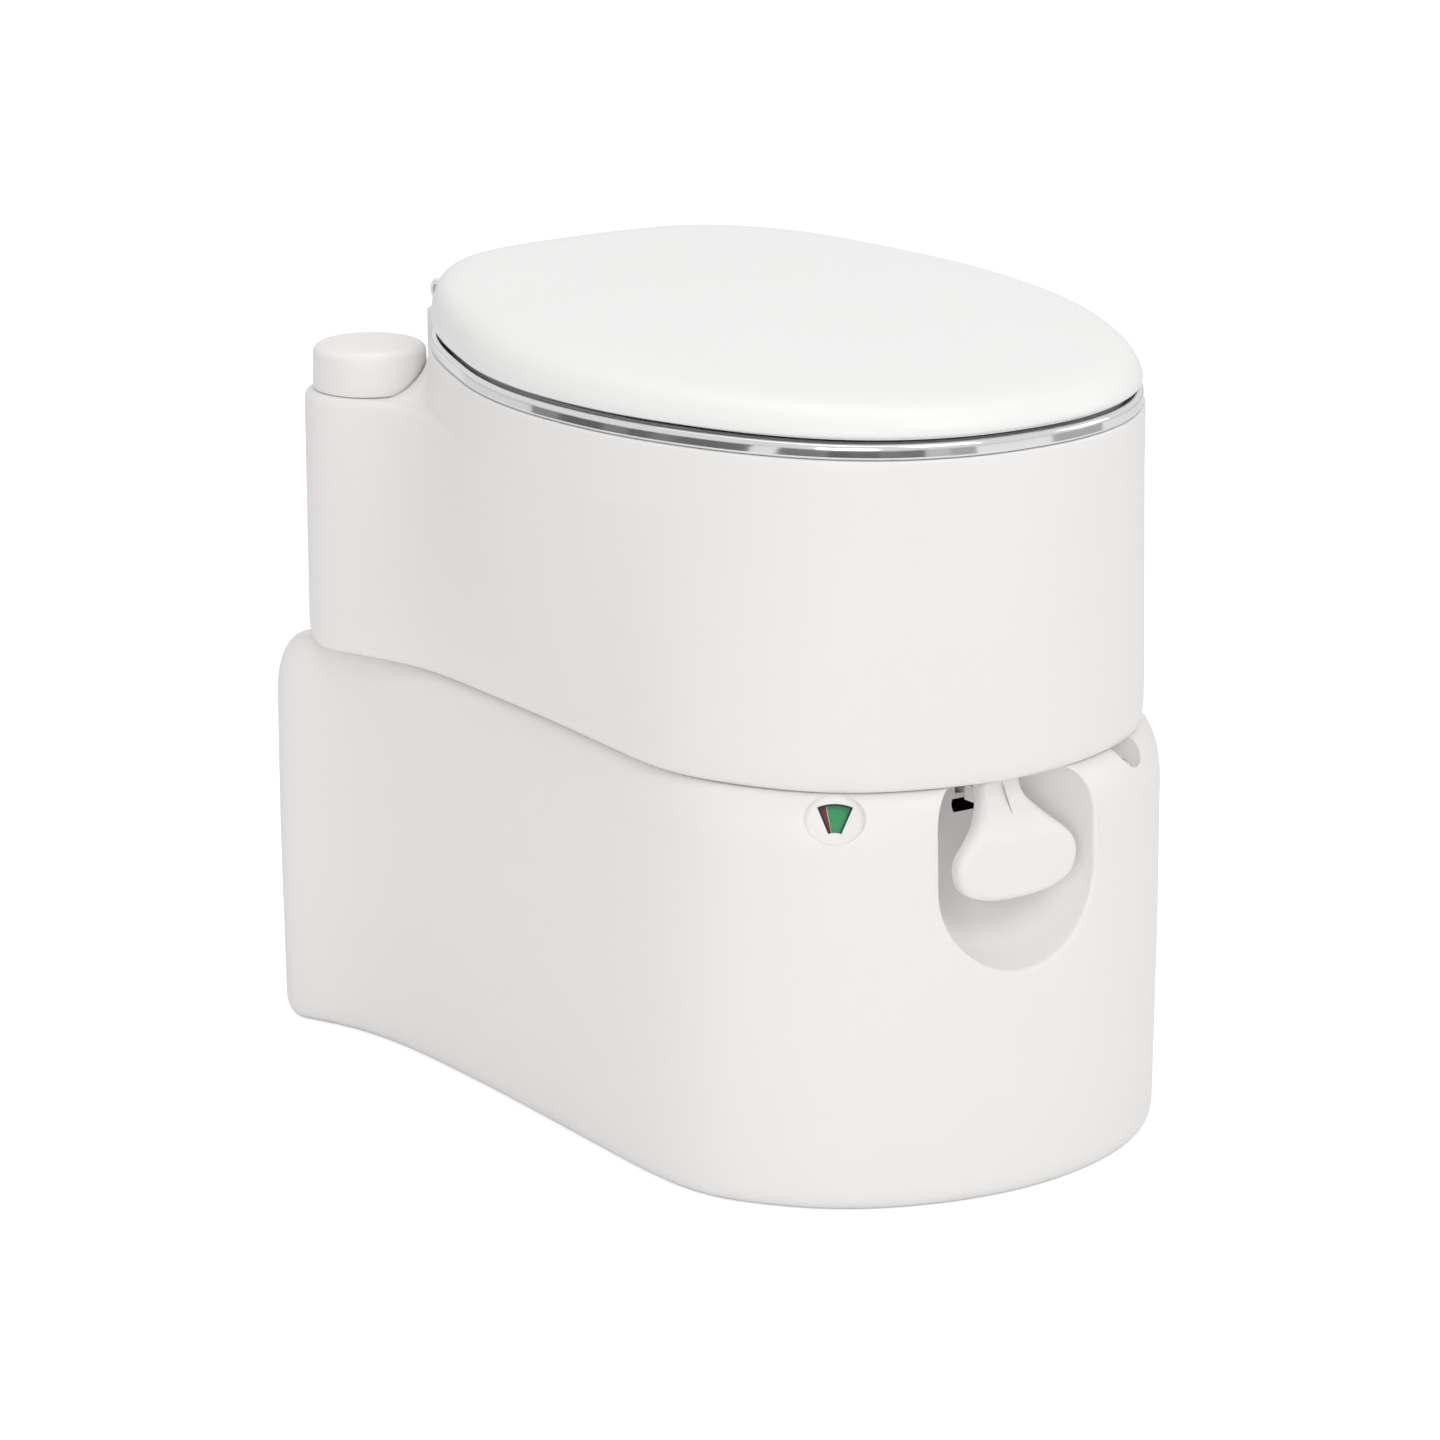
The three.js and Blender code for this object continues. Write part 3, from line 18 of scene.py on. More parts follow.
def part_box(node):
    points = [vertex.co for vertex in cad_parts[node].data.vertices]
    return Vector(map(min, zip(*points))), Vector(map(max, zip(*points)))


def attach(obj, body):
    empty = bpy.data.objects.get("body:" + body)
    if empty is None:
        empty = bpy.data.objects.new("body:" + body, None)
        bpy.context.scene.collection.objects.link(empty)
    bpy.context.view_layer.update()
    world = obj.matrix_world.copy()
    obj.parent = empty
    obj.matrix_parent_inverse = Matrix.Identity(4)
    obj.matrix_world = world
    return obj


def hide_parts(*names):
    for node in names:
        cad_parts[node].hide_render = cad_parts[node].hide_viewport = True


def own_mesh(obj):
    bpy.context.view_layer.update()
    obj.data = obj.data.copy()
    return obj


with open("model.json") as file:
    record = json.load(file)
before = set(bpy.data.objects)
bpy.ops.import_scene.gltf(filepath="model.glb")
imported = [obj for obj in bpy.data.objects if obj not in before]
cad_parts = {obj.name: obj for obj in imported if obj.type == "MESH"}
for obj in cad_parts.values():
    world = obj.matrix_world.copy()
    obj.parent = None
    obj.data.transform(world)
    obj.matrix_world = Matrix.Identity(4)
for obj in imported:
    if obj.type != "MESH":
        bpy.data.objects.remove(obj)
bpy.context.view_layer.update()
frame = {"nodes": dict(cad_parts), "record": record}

# %% [markdown]
# ## Sizes
#
# The shells share a few driving sizes, in millimetres. Four plan outlines are drawn as shares of the half
# width and the half length, from the middle of the front to the middle of the rear. The foot and the deck
# share the corners at the pillars, and the deck and the rim share the front. Where a piece sits is read from
# the frame, so that nothing has to be fitted later.

# %% Driving sizes
mm = 0.001
half_width = 151.5
half_length = 212.75
wall = 3.2
gap = 0.3
overrun = 20


def node_box(node):
    low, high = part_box(node)
    return Vector(low) / mm, Vector(high) / mm


def node_middle(node):
    low, high = node_box(node)
    return (low + high) / 2


tank_top = node_box("waste_tank")[1].z
tank_front = -half_length
foot_z = node_box("flush_tank")[0].z
flange_z = node_box("flush_tank")[1].z
rim_z = node_box("trim_ring")[0].z - gap
deck_z = node_box("filler_cap")[0].z - gap
pillar = node_middle("filler_cap")
pump_place = (-pillar.x, pillar.y)
hinge = node_middle("hinge_pin_left")
mouth_y = 5
mouth_middle = (0, mouth_y)
mouth_radius = 45
print("heights:", [round(z, 1) for z in (tank_top, foot_z, deck_z, rim_z, flange_z)])

# %% Plan outlines of the tank, of the flush tank's foot and deck, and of the rim
tank_shares = [
    (0, -1), (0.182, -0.988), (0.356, -0.955), (0.505, -0.906), (0.634, -0.84), (0.739, -0.758),
    (0.825, -0.666), (0.871, -0.56), (0.884, -0.44), (0.881, -0.243), (0.871, -0.008), (0.865, 0.25),
    (0.867, 0.438), (0.878, 0.592), (0.906, 0.714), (0.947, 0.804), (1, 0.894), (0.98, 0.947),
    (0.926, 0.986), (0.851, 1), (0.594, 0.996), (0.297, 0.989), (0, 0.986),
]
pillar_shares = [
    (0.967, 0.772), (0.939, 0.846), (0.863, 0.9), (0.759, 0.92), (0.528, 0.914), (0.264, 0.907), (0, 0.903),
]
front_shares = [
    (0, -0.981), (0.218, -0.965), (0.422, -0.908), (0.581, -0.821), (0.719, -0.696), (0.845, -0.519),
    (0.924, -0.346), (0.964, -0.163), (0.967, -0.014),
]
foot_shares = [
    (0, -0.969), (0.185, -0.955), (0.37, -0.915), (0.508, -0.866), (0.617, -0.802), (0.71, -0.718),
    (0.785, -0.624), (0.835, -0.53), (0.855, -0.422), (0.848, -0.243), (0.835, -0.008), (0.832, 0.226),
    (0.832, 0.39), (0.845, 0.498), (0.881, 0.597), (0.927, 0.682), *pillar_shares,
]
deck_shares = [
    *front_shares, (0.941, 0.141), (0.891, 0.282), (0.848, 0.409), (0.828, 0.508), (0.845, 0.588),
    (0.891, 0.658), (0.94, 0.705), *pillar_shares,
]
rim_shares = [
    *front_shares, (0.937, 0.141), (0.878, 0.287), (0.802, 0.442), (0.726, 0.557), (0.64, 0.649),
    (0.535, 0.724), (0.396, 0.778), (0.198, 0.802), (0, 0.806),
]

# %% [markdown]
# ## Smooth outlines
#
# A few points and a smooth curve through them give an outline that bends like the moulded one. Each
# outline is then sampled along the same spokes, more of them where the rear corners bend, so that two
# outlines can be mixed point by point. Only the right half is kept, and its mirror image completes a ring.
# An inset moves every point inwards and samples the result again, which keeps tight corners clean.

# %% A smooth curve through points


def curve_point(a, b, c, d, share):
    ab = math.sqrt((b - a).length)
    bc = math.sqrt((c - b).length)
    cd = math.sqrt((d - c).length)
    at = share * bc
    first = a.lerp(b, (at + ab) / ab)
    second = b.lerp(c, share)
    third = c.lerp(d, (at - bc) / cd)
    early = first.lerp(second, (at + ab) / (ab + bc))
    late = second.lerp(third, at / (bc + cd))
    return early.lerp(late, share)


def curve_through(points, before, after, steps):
    row = [before, *points, after]
    dense = [
        curve_point(*row[i:i + 4], step / steps)
        for i in range(len(points) - 1) for step in range(steps)
    ]
    return [*dense, points[-1]]


# %% Spokes, half outlines and rings
spoke_bands = [(0, 120, 60), (120, 136, 12), (136, 150, 26), (150, 180, 14)]
spokes = [
    math.radians(low + (high - low) * i / count)
    for low, high, count in spoke_bands for i in range(count)
]
spokes.append(math.pi)
rays = [Vector((math.sin(angle), -math.cos(angle))) for angle in spokes]


def flipped(point):
    return Vector((-point.x, point.y))


def on_spokes(half):
    reach = [math.inf] * len(spokes)
    angles = [abs(math.atan2(p.x, -p.y)) for p in half]
    for p, q, a, b in zip(half, half[1:], angles, angles[1:]):
        along = q - p
        first = bisect.bisect_left(spokes, min(a, b) - 1e-6)
        last = bisect.bisect_right(spokes, max(a, b) + 1e-6)
        for k in range(first, last):
            turn = rays[k].cross(along)
            if abs(turn) > 1e-9:
                reach[k] = min(reach[k], p.cross(along) / turn)
    return [ray * r for ray, r in zip(rays, reach)]


def outline(shares):
    half = [Vector((x * half_width, y * half_length)) for x, y in shares]
    return on_spokes(curve_through(half, flipped(half[1]), flipped(half[-2]), 16))


def inset(half, distance):
    moved = []
    for i, p in enumerate(half):
        before = half[i - 1] if i else flipped(half[1])
        after = half[i + 1] if i < len(half) - 1 else flipped(half[-2])
        along = (after - before).normalized()
        moved.append(p + distance * Vector((-along.y, along.x)))
    return on_spokes(moved)


def mix(a, b, share):
    return [p.lerp(q, share) for p, q in zip(a, b)]


def widest(a, b):
    return [p if p.length > q.length else q for p, q in zip(a, b)]


def shrink(half, y, share):
    return [p.lerp(Vector((0, y)), share) for p in half]


def oval(reach_x, front_y, rear_y):
    middle, reach_y = (front_y + rear_y) / 2, (rear_y - front_y) / 2
    return [Vector((reach_x * math.sin(a), middle - reach_y * math.cos(a))) for a in spokes]


def ring(half, z):
    right = [Vector((p.x, p.y, z)) for p in half]
    return right + [Vector((-p.x, p.y, z)) for p in half[-2:0:-1]]


def full_turn(sides):
    return [2 * math.pi * i / sides for i in range(sides)]


def quarter_turn(steps):
    return [math.pi / 2 * i / steps for i in range(steps + 1)]


def round_over(full_inset, height, steps):
    return [(full_inset * (1 - math.sin(t)), height * (1 - math.cos(t))) for t in quarter_turn(steps)]


tank_half = outline(tank_shares)
foot_half = outline(foot_shares)
deck_half = outline(deck_shares)
rim_half = outline(rim_shares)
mouth_half = oval(mouth_radius, mouth_y - mouth_radius, mouth_y + mouth_radius)
print("outline points:", 2 * len(spokes) - 2)

# %% [markdown]
# ## Shapes from rings
#
# Most pieces here are skins over a row of rings. By hand one would add a circle, move its points onto the
# outline, and then extrude the edge again and again, each time to the next height. The helper does just
# that. Round pieces are the same with circles as rings. Holes are cut with boolean modifiers, and edges
# are softened with a bevel modifier.

# %% Helpers that model with Blender's operators


def only(piece):
    bpy.ops.object.select_all(action="DESELECT")
    bpy.context.view_layer.objects.active = piece
    piece.select_set(True)
    return piece


def stack(name, rings, looped=False):
    bpy.ops.object.select_all(action="DESELECT")
    bpy.ops.mesh.primitive_circle_add(vertices=len(rings[0]), radius=1)
    piece = bpy.context.object
    piece.name = piece.data.name = name
    for vertex, point in zip(piece.data.vertices, rings[0]):
        vertex.co = point * mm
    bpy.ops.object.mode_set(mode="EDIT")
    bpy.ops.mesh.select_all(action="SELECT")
    place = {i: i for i in range(len(rings[0]))}
    for points in rings[1:] + (rings[:1] if looped else []):
        bpy.ops.mesh.extrude_edges_move()
        mesh = bmesh.from_edit_mesh(piece.data)
        fresh = {}
        for vertex in mesh.verts:
            if vertex.select:
                others = [edge.other_vert(vertex) for edge in vertex.link_edges]
                old = next(other for other in others if not other.select)
                fresh[vertex.index] = place[old.index]
                vertex.co = points[place[old.index]] * mm
        place = fresh
        bmesh.update_edit_mesh(piece.data)
    bpy.ops.mesh.select_all(action="SELECT")
    if looped:
        bpy.ops.mesh.remove_doubles(threshold=1e-7)
    else:
        bpy.ops.mesh.fill_holes(sides=0)
    bpy.ops.mesh.normals_make_consistent(inside=False)
    bpy.ops.object.mode_set(mode="OBJECT")
    return piece


def circle(radius, z, sides, middle):
    x, y = middle
    return [Vector((x + radius * math.cos(t), y + radius * math.sin(t), z)) for t in full_turn(sides)]


def turned(name, profile, middle=(0, 0), sides=64, looped=False):
    return stack(name, [circle(r, z, sides, middle) for r, z in profile], looped)


def block(name, low, high, corner=0.01, steps=6):
    left, near = low[0] + corner, low[1] + corner
    right, far = high[0] - corner, high[1] - corner
    corners = []
    for quarter, (x, y) in enumerate(((right, near), (right, far), (left, far), (left, near))):
        for i in range(steps + 1):
            angle = math.pi / 2 * (quarter - 1 + i / steps)
            corners.append((x + corner * math.cos(angle), y + corner * math.sin(angle)))
    return stack(name, [[Vector((x, y, z)) for x, y in corners] for z in (low[2], high[2])])


def modify(piece, kind, **settings):
    only(piece)
    modifier = piece.modifiers.new(kind.title(), kind)
    for key, value in settings.items():
        setattr(modifier, key, value)
    bpy.ops.object.modifier_apply(modifier=modifier.name)
    return piece


def combine(piece, others, operation):
    for other in others:
        modify(piece, "BOOLEAN", operation=operation, solver="MANIFOLD", object=other)
        bpy.data.objects.remove(other)
    return piece


def carve(piece, *cutters):
    return combine(piece, cutters, "DIFFERENCE")


def weld(piece, *others):
    return combine(piece, others, "UNION")


def soften(piece, width, segments=3):
    return modify(piece, "BEVEL", width=width * mm, segments=segments, limit_method="ANGLE",
                  angle_limit=math.radians(40), harden_normals=False)


def turn(piece, matrix):
    piece.data.transform(matrix)
    return piece


# %% [markdown]
# ## Dressing a piece
#
# A finished piece is shaded smooth except at its sharp edges and takes the place of a CAD node: it rides on
# the node's body and hides the node. A CAD node that stays only gets a better material.

# %% Helpers that hand a piece to the frame
body_of_node = {
    node: body for body, nodes in frame["record"]["behaviour"]["bodies"].items() for node in nodes
}


def dress(piece, node, finish, angle=35):
    only(piece)
    bpy.ops.object.shade_smooth_by_angle(angle=math.radians(angle))
    piece.data.materials.clear()
    piece.data.materials.append(finish)
    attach(piece, body_of_node[node])
    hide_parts(node)
    return piece


def keep(finish, *nodes):
    for node in nodes:
        mesh = frame["nodes"][node].data
        mesh.materials.clear()
        mesh.materials.append(finish)


# %% [markdown]
# ## Shader maths
#
# A finish is a Principled shader whose colour, roughness and bump vary a little over the surface. The
# small classes below let that variation be written as sums and products.

# %% Classes that wrap a shader value and a tree of nodes


class Value:
    def __init__(self, surface, socket):
        self.surface = surface
        self.socket = socket

    def math(self, operation, other):
        return self.surface.node("Math", {"operation": operation}, {0: self, 1: other}, "Value")

    def __add__(self, other):
        return self.math("ADD", other)

    def __mul__(self, other):
        return self.math("MULTIPLY", other)

    __radd__ = __add__


class Shading:
    def __init__(self, owner, last):
        owner.use_nodes = True
        self.tree = owner.node_tree
        self.shader = self.tree.nodes[last]

    def feed(self, value, socket):
        if isinstance(value, Value):
            self.tree.links.new(value.socket, socket)
        else:
            socket.default_value = value

    def set(self, socket, value):
        self.feed(value, self.shader.inputs[socket])

    def node(self, kind, settings, inputs, output):
        made = self.tree.nodes.new("ShaderNode" + kind)
        for key, value in settings.items():
            setattr(made, key, value)
        for key, value in inputs.items():
            self.feed(value, made.inputs[key])
        return Value(self, made.outputs[output])


class Surface(Shading):
    def __init__(self, name, **fixed):
        self.material = bpy.data.materials.new(name)
        super().__init__(self.material, "Principled BSDF")
        for socket, value in fixed.items():
            self.set(socket.replace("_", " "), value)

    def noise(self, scale, detail=2):
        place = self.node("TexCoord", {}, {}, "Object")
        return self.node("TexNoise", {}, {"Vector": place, "Scale": scale, "Detail": detail}, "Fac")

    def mix(self, factor, first, second):
        made = self.tree.nodes.new("ShaderNodeMix")
        made.data_type = "RGBA"
        colours = [socket for socket in made.inputs if socket.type == "RGBA"]
        self.feed(factor, made.inputs["Factor"])
        self.feed(first, colours[0])
        self.feed(second, colours[1])
        return Value(self, next(socket for socket in made.outputs if socket.type == "RGBA"))

    def bump(self, height, depth_mm):
        inputs = {"Height": height, "Distance": depth_mm * mm, "Strength": 1.0}
        self.set("Normal", self.node("Bump", {}, inputs, "Normal"))


def shade(colour, factor=1.0):
    return (*[channel * factor for channel in colour], 1.0)


# %% [markdown]
# ## White moulded plastic
#
# The shells are a clean warm white with a satin skin. Up close the skin is not perfect: it has a very fine
# grain from the mould and a slow unevenness from the way that thick plastic cools. Both go into the bump,
# and a slow drift of the roughness breaks up the highlights.

# %% Plastic finishes


def plastic(name, colour, roughness, grain=0.012, drift=0.05, shine=0.5):
    surface = Surface(name, IOR=1.47, Specular_IOR_Level=shine)
    slow = surface.noise(14, 1)
    fine = surface.noise(1500, 3)
    surface.set("Base Color", surface.mix(slow, shade(colour, 0.985), shade(colour)))
    surface.set("Roughness", roughness - drift / 2 + slow * drift + fine * 0.03)
    surface.bump(slow * 6 + fine, grain)
    return surface.material


white_plastic = plastic("white moulded plastic", (0.874, 0.862, 0.852), 0.36)
lid_plastic = plastic("white lid plastic", (0.9, 0.892, 0.885), 0.33)
grey_plastic = plastic("grey plastic", (0.46, 0.47, 0.475), 0.48, grain=0.02)
# This dark finish is real rubber on the seals and bumpers, and painted shadow on the indicator window's rim.
dark_rubber_and_painted_shadow = plastic("dark rubber and painted shadow", (0.035, 0.035, 0.037), 0.75, grain=0.03)

# %% [markdown]
# ## Metal and clear finishes
#
# The trim ring is bright chrome over plastic. Chrome shows its surroundings, so it needs little more than a
# low roughness and a faint waviness, which breaks the reflections as in the photograph. The hinge pins and
# the screws are plain steel, and the indicator's window is clear plastic.

# %% Chrome, steel and clear plastic


def chrome_finish():
    surface = Surface("chrome", Metallic=1.0, Base_Color=shade((0.83, 0.83, 0.84)))
    wave = surface.noise(38, 2)
    surface.set("Roughness", 0.06 + wave * 0.06)
    surface.bump(wave, 0.22)
    return surface.material


def steel_finish():
    surface = Surface("steel", Metallic=1.0)
    streaks = surface.noise(900, 2)
    surface.set("Base Color", surface.mix(streaks, shade((0.5, 0.5, 0.51)), shade((0.6, 0.6, 0.61))))
    surface.set("Roughness", 0.28 + streaks * 0.15)
    return surface.material


def clear_finish():
    surface = Surface("clear plastic", IOR=1.49, Alpha=0.03, Base_Color=shade((0.9, 0.93, 0.92)))
    surface.set("Roughness", 0.05 + surface.noise(120) * 0.05)
    return surface.material


chrome = chrome_finish()
steel = steel_finish()
clear_plastic = clear_finish()

# %% [markdown]
# ## The waste tank
#
# The lower tank is one hollow shell. Its skin starts under the base, rounds up into slightly drafted walls
# and ends in a wide soft shoulder below the joint. The hollow inside is a second, smaller skin.

# %% The tank's skin
base_inset, base_round, base_draft = 7, 11, 1.2
shoulder_inset, shoulder_round = 13, 28.2


def tank_skin(name, thickness):
    levels = [(d + base_draft, thickness + z) for d, z in round_over(base_inset, base_round - thickness, 6)]
    levels.append((0, tank_top / 2))
    shoulder = round_over(shoulder_inset, shoulder_round - thickness, 10)
    levels += [(d, tank_top - thickness - z) for d, z in reversed(shoulder)]
    return stack(name, [ring(inset(tank_half, d + thickness), z) for d, z in levels])


waste_tank = tank_skin("waste_tank_shell", 0)
print("tank skin:", len(waste_tank.data.polygons), "faces")

# %% [markdown]
# ## The pull recess
#
# The handle hangs in a scoop that a hand can reach into. The cutter follows the curved front of the tank:
# each of its rings is laid on the tank's surface first and then pushed inwards. The first rings are a
# little wider, which rounds the mouth of the scoop as a mould does, and the last ones close in on its back.

# %% A cutter for the scoop
pull_x = -5
recess_half_width = 42.5
recess_centre_z = 150
recess_depth = 40
recess_corner = 13
recess_back = tank_front + recess_depth
recess_lip = 2.4
recess_power, recess_closing = 1.7, 0.7


def front_of_tank(x, z):
    origin = Vector((x, -2 * half_length, min(z, tank_top - 0.2))) * mm
    hit, place, _, _ = waste_tank.ray_cast(origin, Vector((0, 1, 0)))
    return place.y / mm if hit else tank_front + shoulder_inset


def recess_ring(grow, share, outside):
    roundness = 1 - (1 - share ** recess_power) ** (1 / recess_power)
    narrowing = recess_half_width * recess_closing * roundness
    half = recess_half_width - narrowing + grow
    centre_z = recess_centre_z + narrowing
    corner_height = 1.6 * recess_corner
    edge = [(half - recess_corner, tank_top + overrun)]
    edge += [(half - d, tank_top - z) for d, z in round_over(recess_corner, corner_height, 8)]
    turns = [math.pi * i / 48 for i in range(49)]
    arc = [(half * math.cos(t), centre_z - half * math.sin(t)) for t in turns]
    points = [*edge, *arc, *[(-x, z) for x, z in reversed(edge)]]
    rings = []
    for x, z in points:
        surface_y = front_of_tank(pull_x + x, z)
        y = surface_y + share * (recess_back + grow - surface_y) - outside
        rings.append(Vector((pull_x + x, y, z)))
    return rings


def pull_recess(grow):
    if grow:
        shares = [0, 0.2, 0.4, 0.6, 0.75, 0.88, 0.96, 1]
        return stack("recess", [recess_ring(grow, share, overrun * (share == 0)) for share in shares])
    rings = [recess_ring(recess_lip, 0, overrun), recess_ring(recess_lip, 0, gap / 10)]
    for lip, depth in round_over(recess_lip, recess_lip, 6)[1:]:
        rings.append(recess_ring(lip, depth / recess_depth, 0))
    shares = [0.12, 0.2, 0.3, 0.4, 0.5, 0.6, 0.7, 0.78, 0.85, 0.91, 0.95, 0.98, 0.995, 1]
    return stack("recess", rings + [recess_ring(0, share, 0) for share in shares])


# %% [markdown]
# ## The other hollows of the waste tank
#
# The valve lies in a well in the top. A slot leads the valve's stem forward into the pull recess. At the
# rear an alcove holds the swivel spout, a notch holds the dock latch, and a thumb scallop at the front
# right surrounds the vent button. Each cutter can grow by the wall's thickness: grown, it is taken away
# from the hollow inside, which leaves a wall round the hollow outside.

# %% Cutters for the hollows
valve_low, valve_high = node_box("valve_frame")
stem_half = 10.5
blade_low, blade_high = node_box("slide_blade")
cover_low, cover_high = node_box("valve_cover")
spout_x, spout_y, alcove_floor = 92, 181, 128
spout_middle = (spout_x, spout_y)
alcove_left, alcove_right, alcove_front = -80, 124, 150
spout_radius, turn_play = 18, 0.8
vent = node_middle("vent_button")
scallop_middle = Vector((vent.x - 1, vent.y - 3, tank_top - 1.2))
scallop_radius = 11.5
vent_floor = 165.5
vent_well_radius, vent_hole_radius = 6.3, 2.3
latch_low, latch_high = node_box("dock_latch")
latch_travel = 7
nose_inset, nose_height, nose_play = 4, 6, 2.6


def valve_well(grow):
    margin = gap + grow
    low = (valve_low.x - margin, valve_low.y - margin, valve_low.z - gap - grow)
    high = (valve_high.x + margin, valve_high.y + margin, tank_top + overrun)
    return block("well", low, high, 6 + margin)


def stem_slot(grow):
    low = (pull_x - stem_half - grow, recess_back - 2 * wall, blade_low.z - 2 * gap - grow)
    high = (pull_x + stem_half + grow, valve_low.y + grow, cover_low.z + gap + grow)
    return block("slot", low, high, 1 + grow)


def rear_alcove(grow):
    low = (alcove_left - grow, alcove_front - grow, alcove_floor - grow)
    high = (alcove_right + grow, half_length + overrun, tank_top + overrun)
    return block("alcove", low, high, 9 + grow)


def latch_notch(grow):
    margin = gap + grow
    low = (latch_low.x - margin, latch_low.y - latch_travel - margin, latch_low.z - margin)
    high = (latch_high.x + margin, half_length + overrun, tank_top + overrun)
    return block("notch", low, high, 1 + grow)


def scallop(grow):
    radius = scallop_radius + grow
    turns = [math.pi * (i + 0.5) / 24 for i in range(24)]
    profile = [(radius * math.sin(t) ** 0.6, scallop_middle.z - radius * math.cos(t)) for t in turns]
    return turned("scallop", profile, scallop_middle[:2], 72)


def shaft(radius, low_z, high_z, middle, sides=64):
    return turned("shaft", [(radius, low_z), (radius, high_z)], middle, sides)


# %% [markdown]
# ## The level indicator's pocket
#
# On the front left shoulder a shallow dimple holds a fan-shaped funnel, and at its bottom a window shows
# the dial. All of it is built upright at the origin, looking along Y, and is then tilted into the shoulder.

# %% Cutters for the indicator
indicator_spot, indicator_turn, indicator_tilt = Vector((-87.5, -180.5, 184.5)), -37, -25
indicator_place = (
    Matrix.Translation(indicator_spot * mm) @ Matrix.Rotation(math.radians(indicator_turn), 4, "Z")
    @ Matrix.Rotation(math.radians(indicator_tilt), 4, "X")
)
pivot_drop = 13
hub_radius, bearing_radius, chamber_radius, chamber_angle = 3.3, 5.3, 21.8, 64
window_inner, window_outer, window_angle = 7.5, 20.5, 23
lens_front, chamber_front, chamber_back = 3.7, 5.4, 8.8
dimple_half_width, dimple_half_height = 13.8, 11.8
dimple_steps = [
    (1.04, -10), (1.04, -0.1), (1, 0.1), (0.985, 0.9), (0.97, 1.8), (0.94, 2.8), (0.9, 3.3), (0.82, 3.5),
]
funnel_steps = [(3.2, -8), (3.2, 0.8), (2.8, 1.4), (1.1, lens_front - 0.4), (0.5, lens_front)]


def fan(inner, outer, half_angle, y):
    turns = [math.radians(2 * half_angle * i / 24 - half_angle) for i in range(25)]
    points = [(outer, t) for t in turns] + [(inner, t) for t in reversed(turns)]
    return [Vector((r * math.sin(t), y, r * math.cos(t) - pivot_drop)) for r, t in points]


def spread(points, distance):
    middle = sum(points, Vector()) / len(points)
    grown = []
    for i, p in enumerate(points):
        along = (points[(i + 1) % len(points)] - points[i - 1]).normalized()
        out = Vector((-along.z, 0, along.x))
        grown.append(p + distance * (out if out.dot(p - middle) > 0 else -out))
    return grown


def tilted(name, rings):
    return turn(stack(name, rings), indicator_place)


def upright_oval(reach_x, reach_z, y, drop, sides):
    return [Vector((reach_x * math.cos(t), y, reach_z * math.sin(t) - drop)) for t in full_turn(sides)]


def hub(radius, front, back):
    return tilted("hub", [upright_oval(radius, radius, y, pivot_drop, 48) for y in (front, back)])


def dimple():
    return tilted("dimple", [
        upright_oval(dimple_half_width * share, dimple_half_height * share, y, 0, 72)
        for share, y in dimple_steps
    ])


def funnel():
    rim = fan(window_inner, window_outer, window_angle, 0)
    return tilted("funnel", [[p + Vector((0, y, 0)) for p in spread(rim, grow)] for grow, y in funnel_steps])


def sector(inner, outer, half_angle, front, back):
    return tilted("sector", [fan(inner, outer, half_angle, y) for y in (front, back)])


def indicator_cutters():
    return [
        dimple(), funnel(), sector(window_inner, window_outer, window_angle, 0, chamber_front + gap),
        sector(1.6, chamber_radius, chamber_angle, chamber_front, chamber_back),
        hub(hub_radius, chamber_front, chamber_back),
        hub(bearing_radius, chamber_back - gap, chamber_back + overrun),
    ]


def indicator_bosses():
    return [hub(chamber_radius - gap + wall, -overrun, chamber_back + wall),
            hub(bearing_radius - gap + wall, chamber_back, chamber_back + 9)]


# %% [markdown]
# ## Cutting the tank
#
# The hollow loses the grown cutters first. Then the shell loses the hollow and the cutters themselves.

# %% The finished waste tank
grown = [pull_recess(wall), valve_well(wall), stem_slot(wall), rear_alcove(wall), latch_notch(wall),
         scallop(wall), shaft(vent_well_radius + wall, vent_floor - wall, scallop_middle.z, vent[:2], 48)]
tank_hollow = carve(tank_skin("tank_hollow", wall), *grown, *indicator_bosses())
plain = [pull_recess(0), valve_well(0), stem_slot(0), rear_alcove(0), latch_notch(0), scallop(0)]
holes = [
    shaft(vent_well_radius, vent_floor, scallop_middle.z, vent[:2], 48),
    shaft(vent_hole_radius, vent_floor - overrun, vent_floor + 1, vent[:2], 32),
    shaft(mouth_radius, valve_low.z - overrun, valve_low.z + overrun, mouth_middle, 96),
    shaft(spout_radius + turn_play, alcove_floor - overrun, alcove_floor + 1, spout_middle),
]
carve(waste_tank, tank_hollow, *plain, *holes, *indicator_cutters())
dress(waste_tank, "waste_tank", white_plastic)
print("waste tank:", len(waste_tank.data.polygons), "faces")

# %% [markdown]
# ## The flush tank
#
# The upper tank starts with a rounded foot, rises straight to the deck and swells there into the rim that
# carries the seat. On each rear corner stands a pillar with a flat deck, one for the filler and one for
# the pump. The skin mixes the deck's outline into the rim's over the last few centimetres.

# %% The flush tank's skin
foot_round, foot_inset, waist_rise = 12, 4.5, 27
deck_round, deck_inset = 5, 3.5


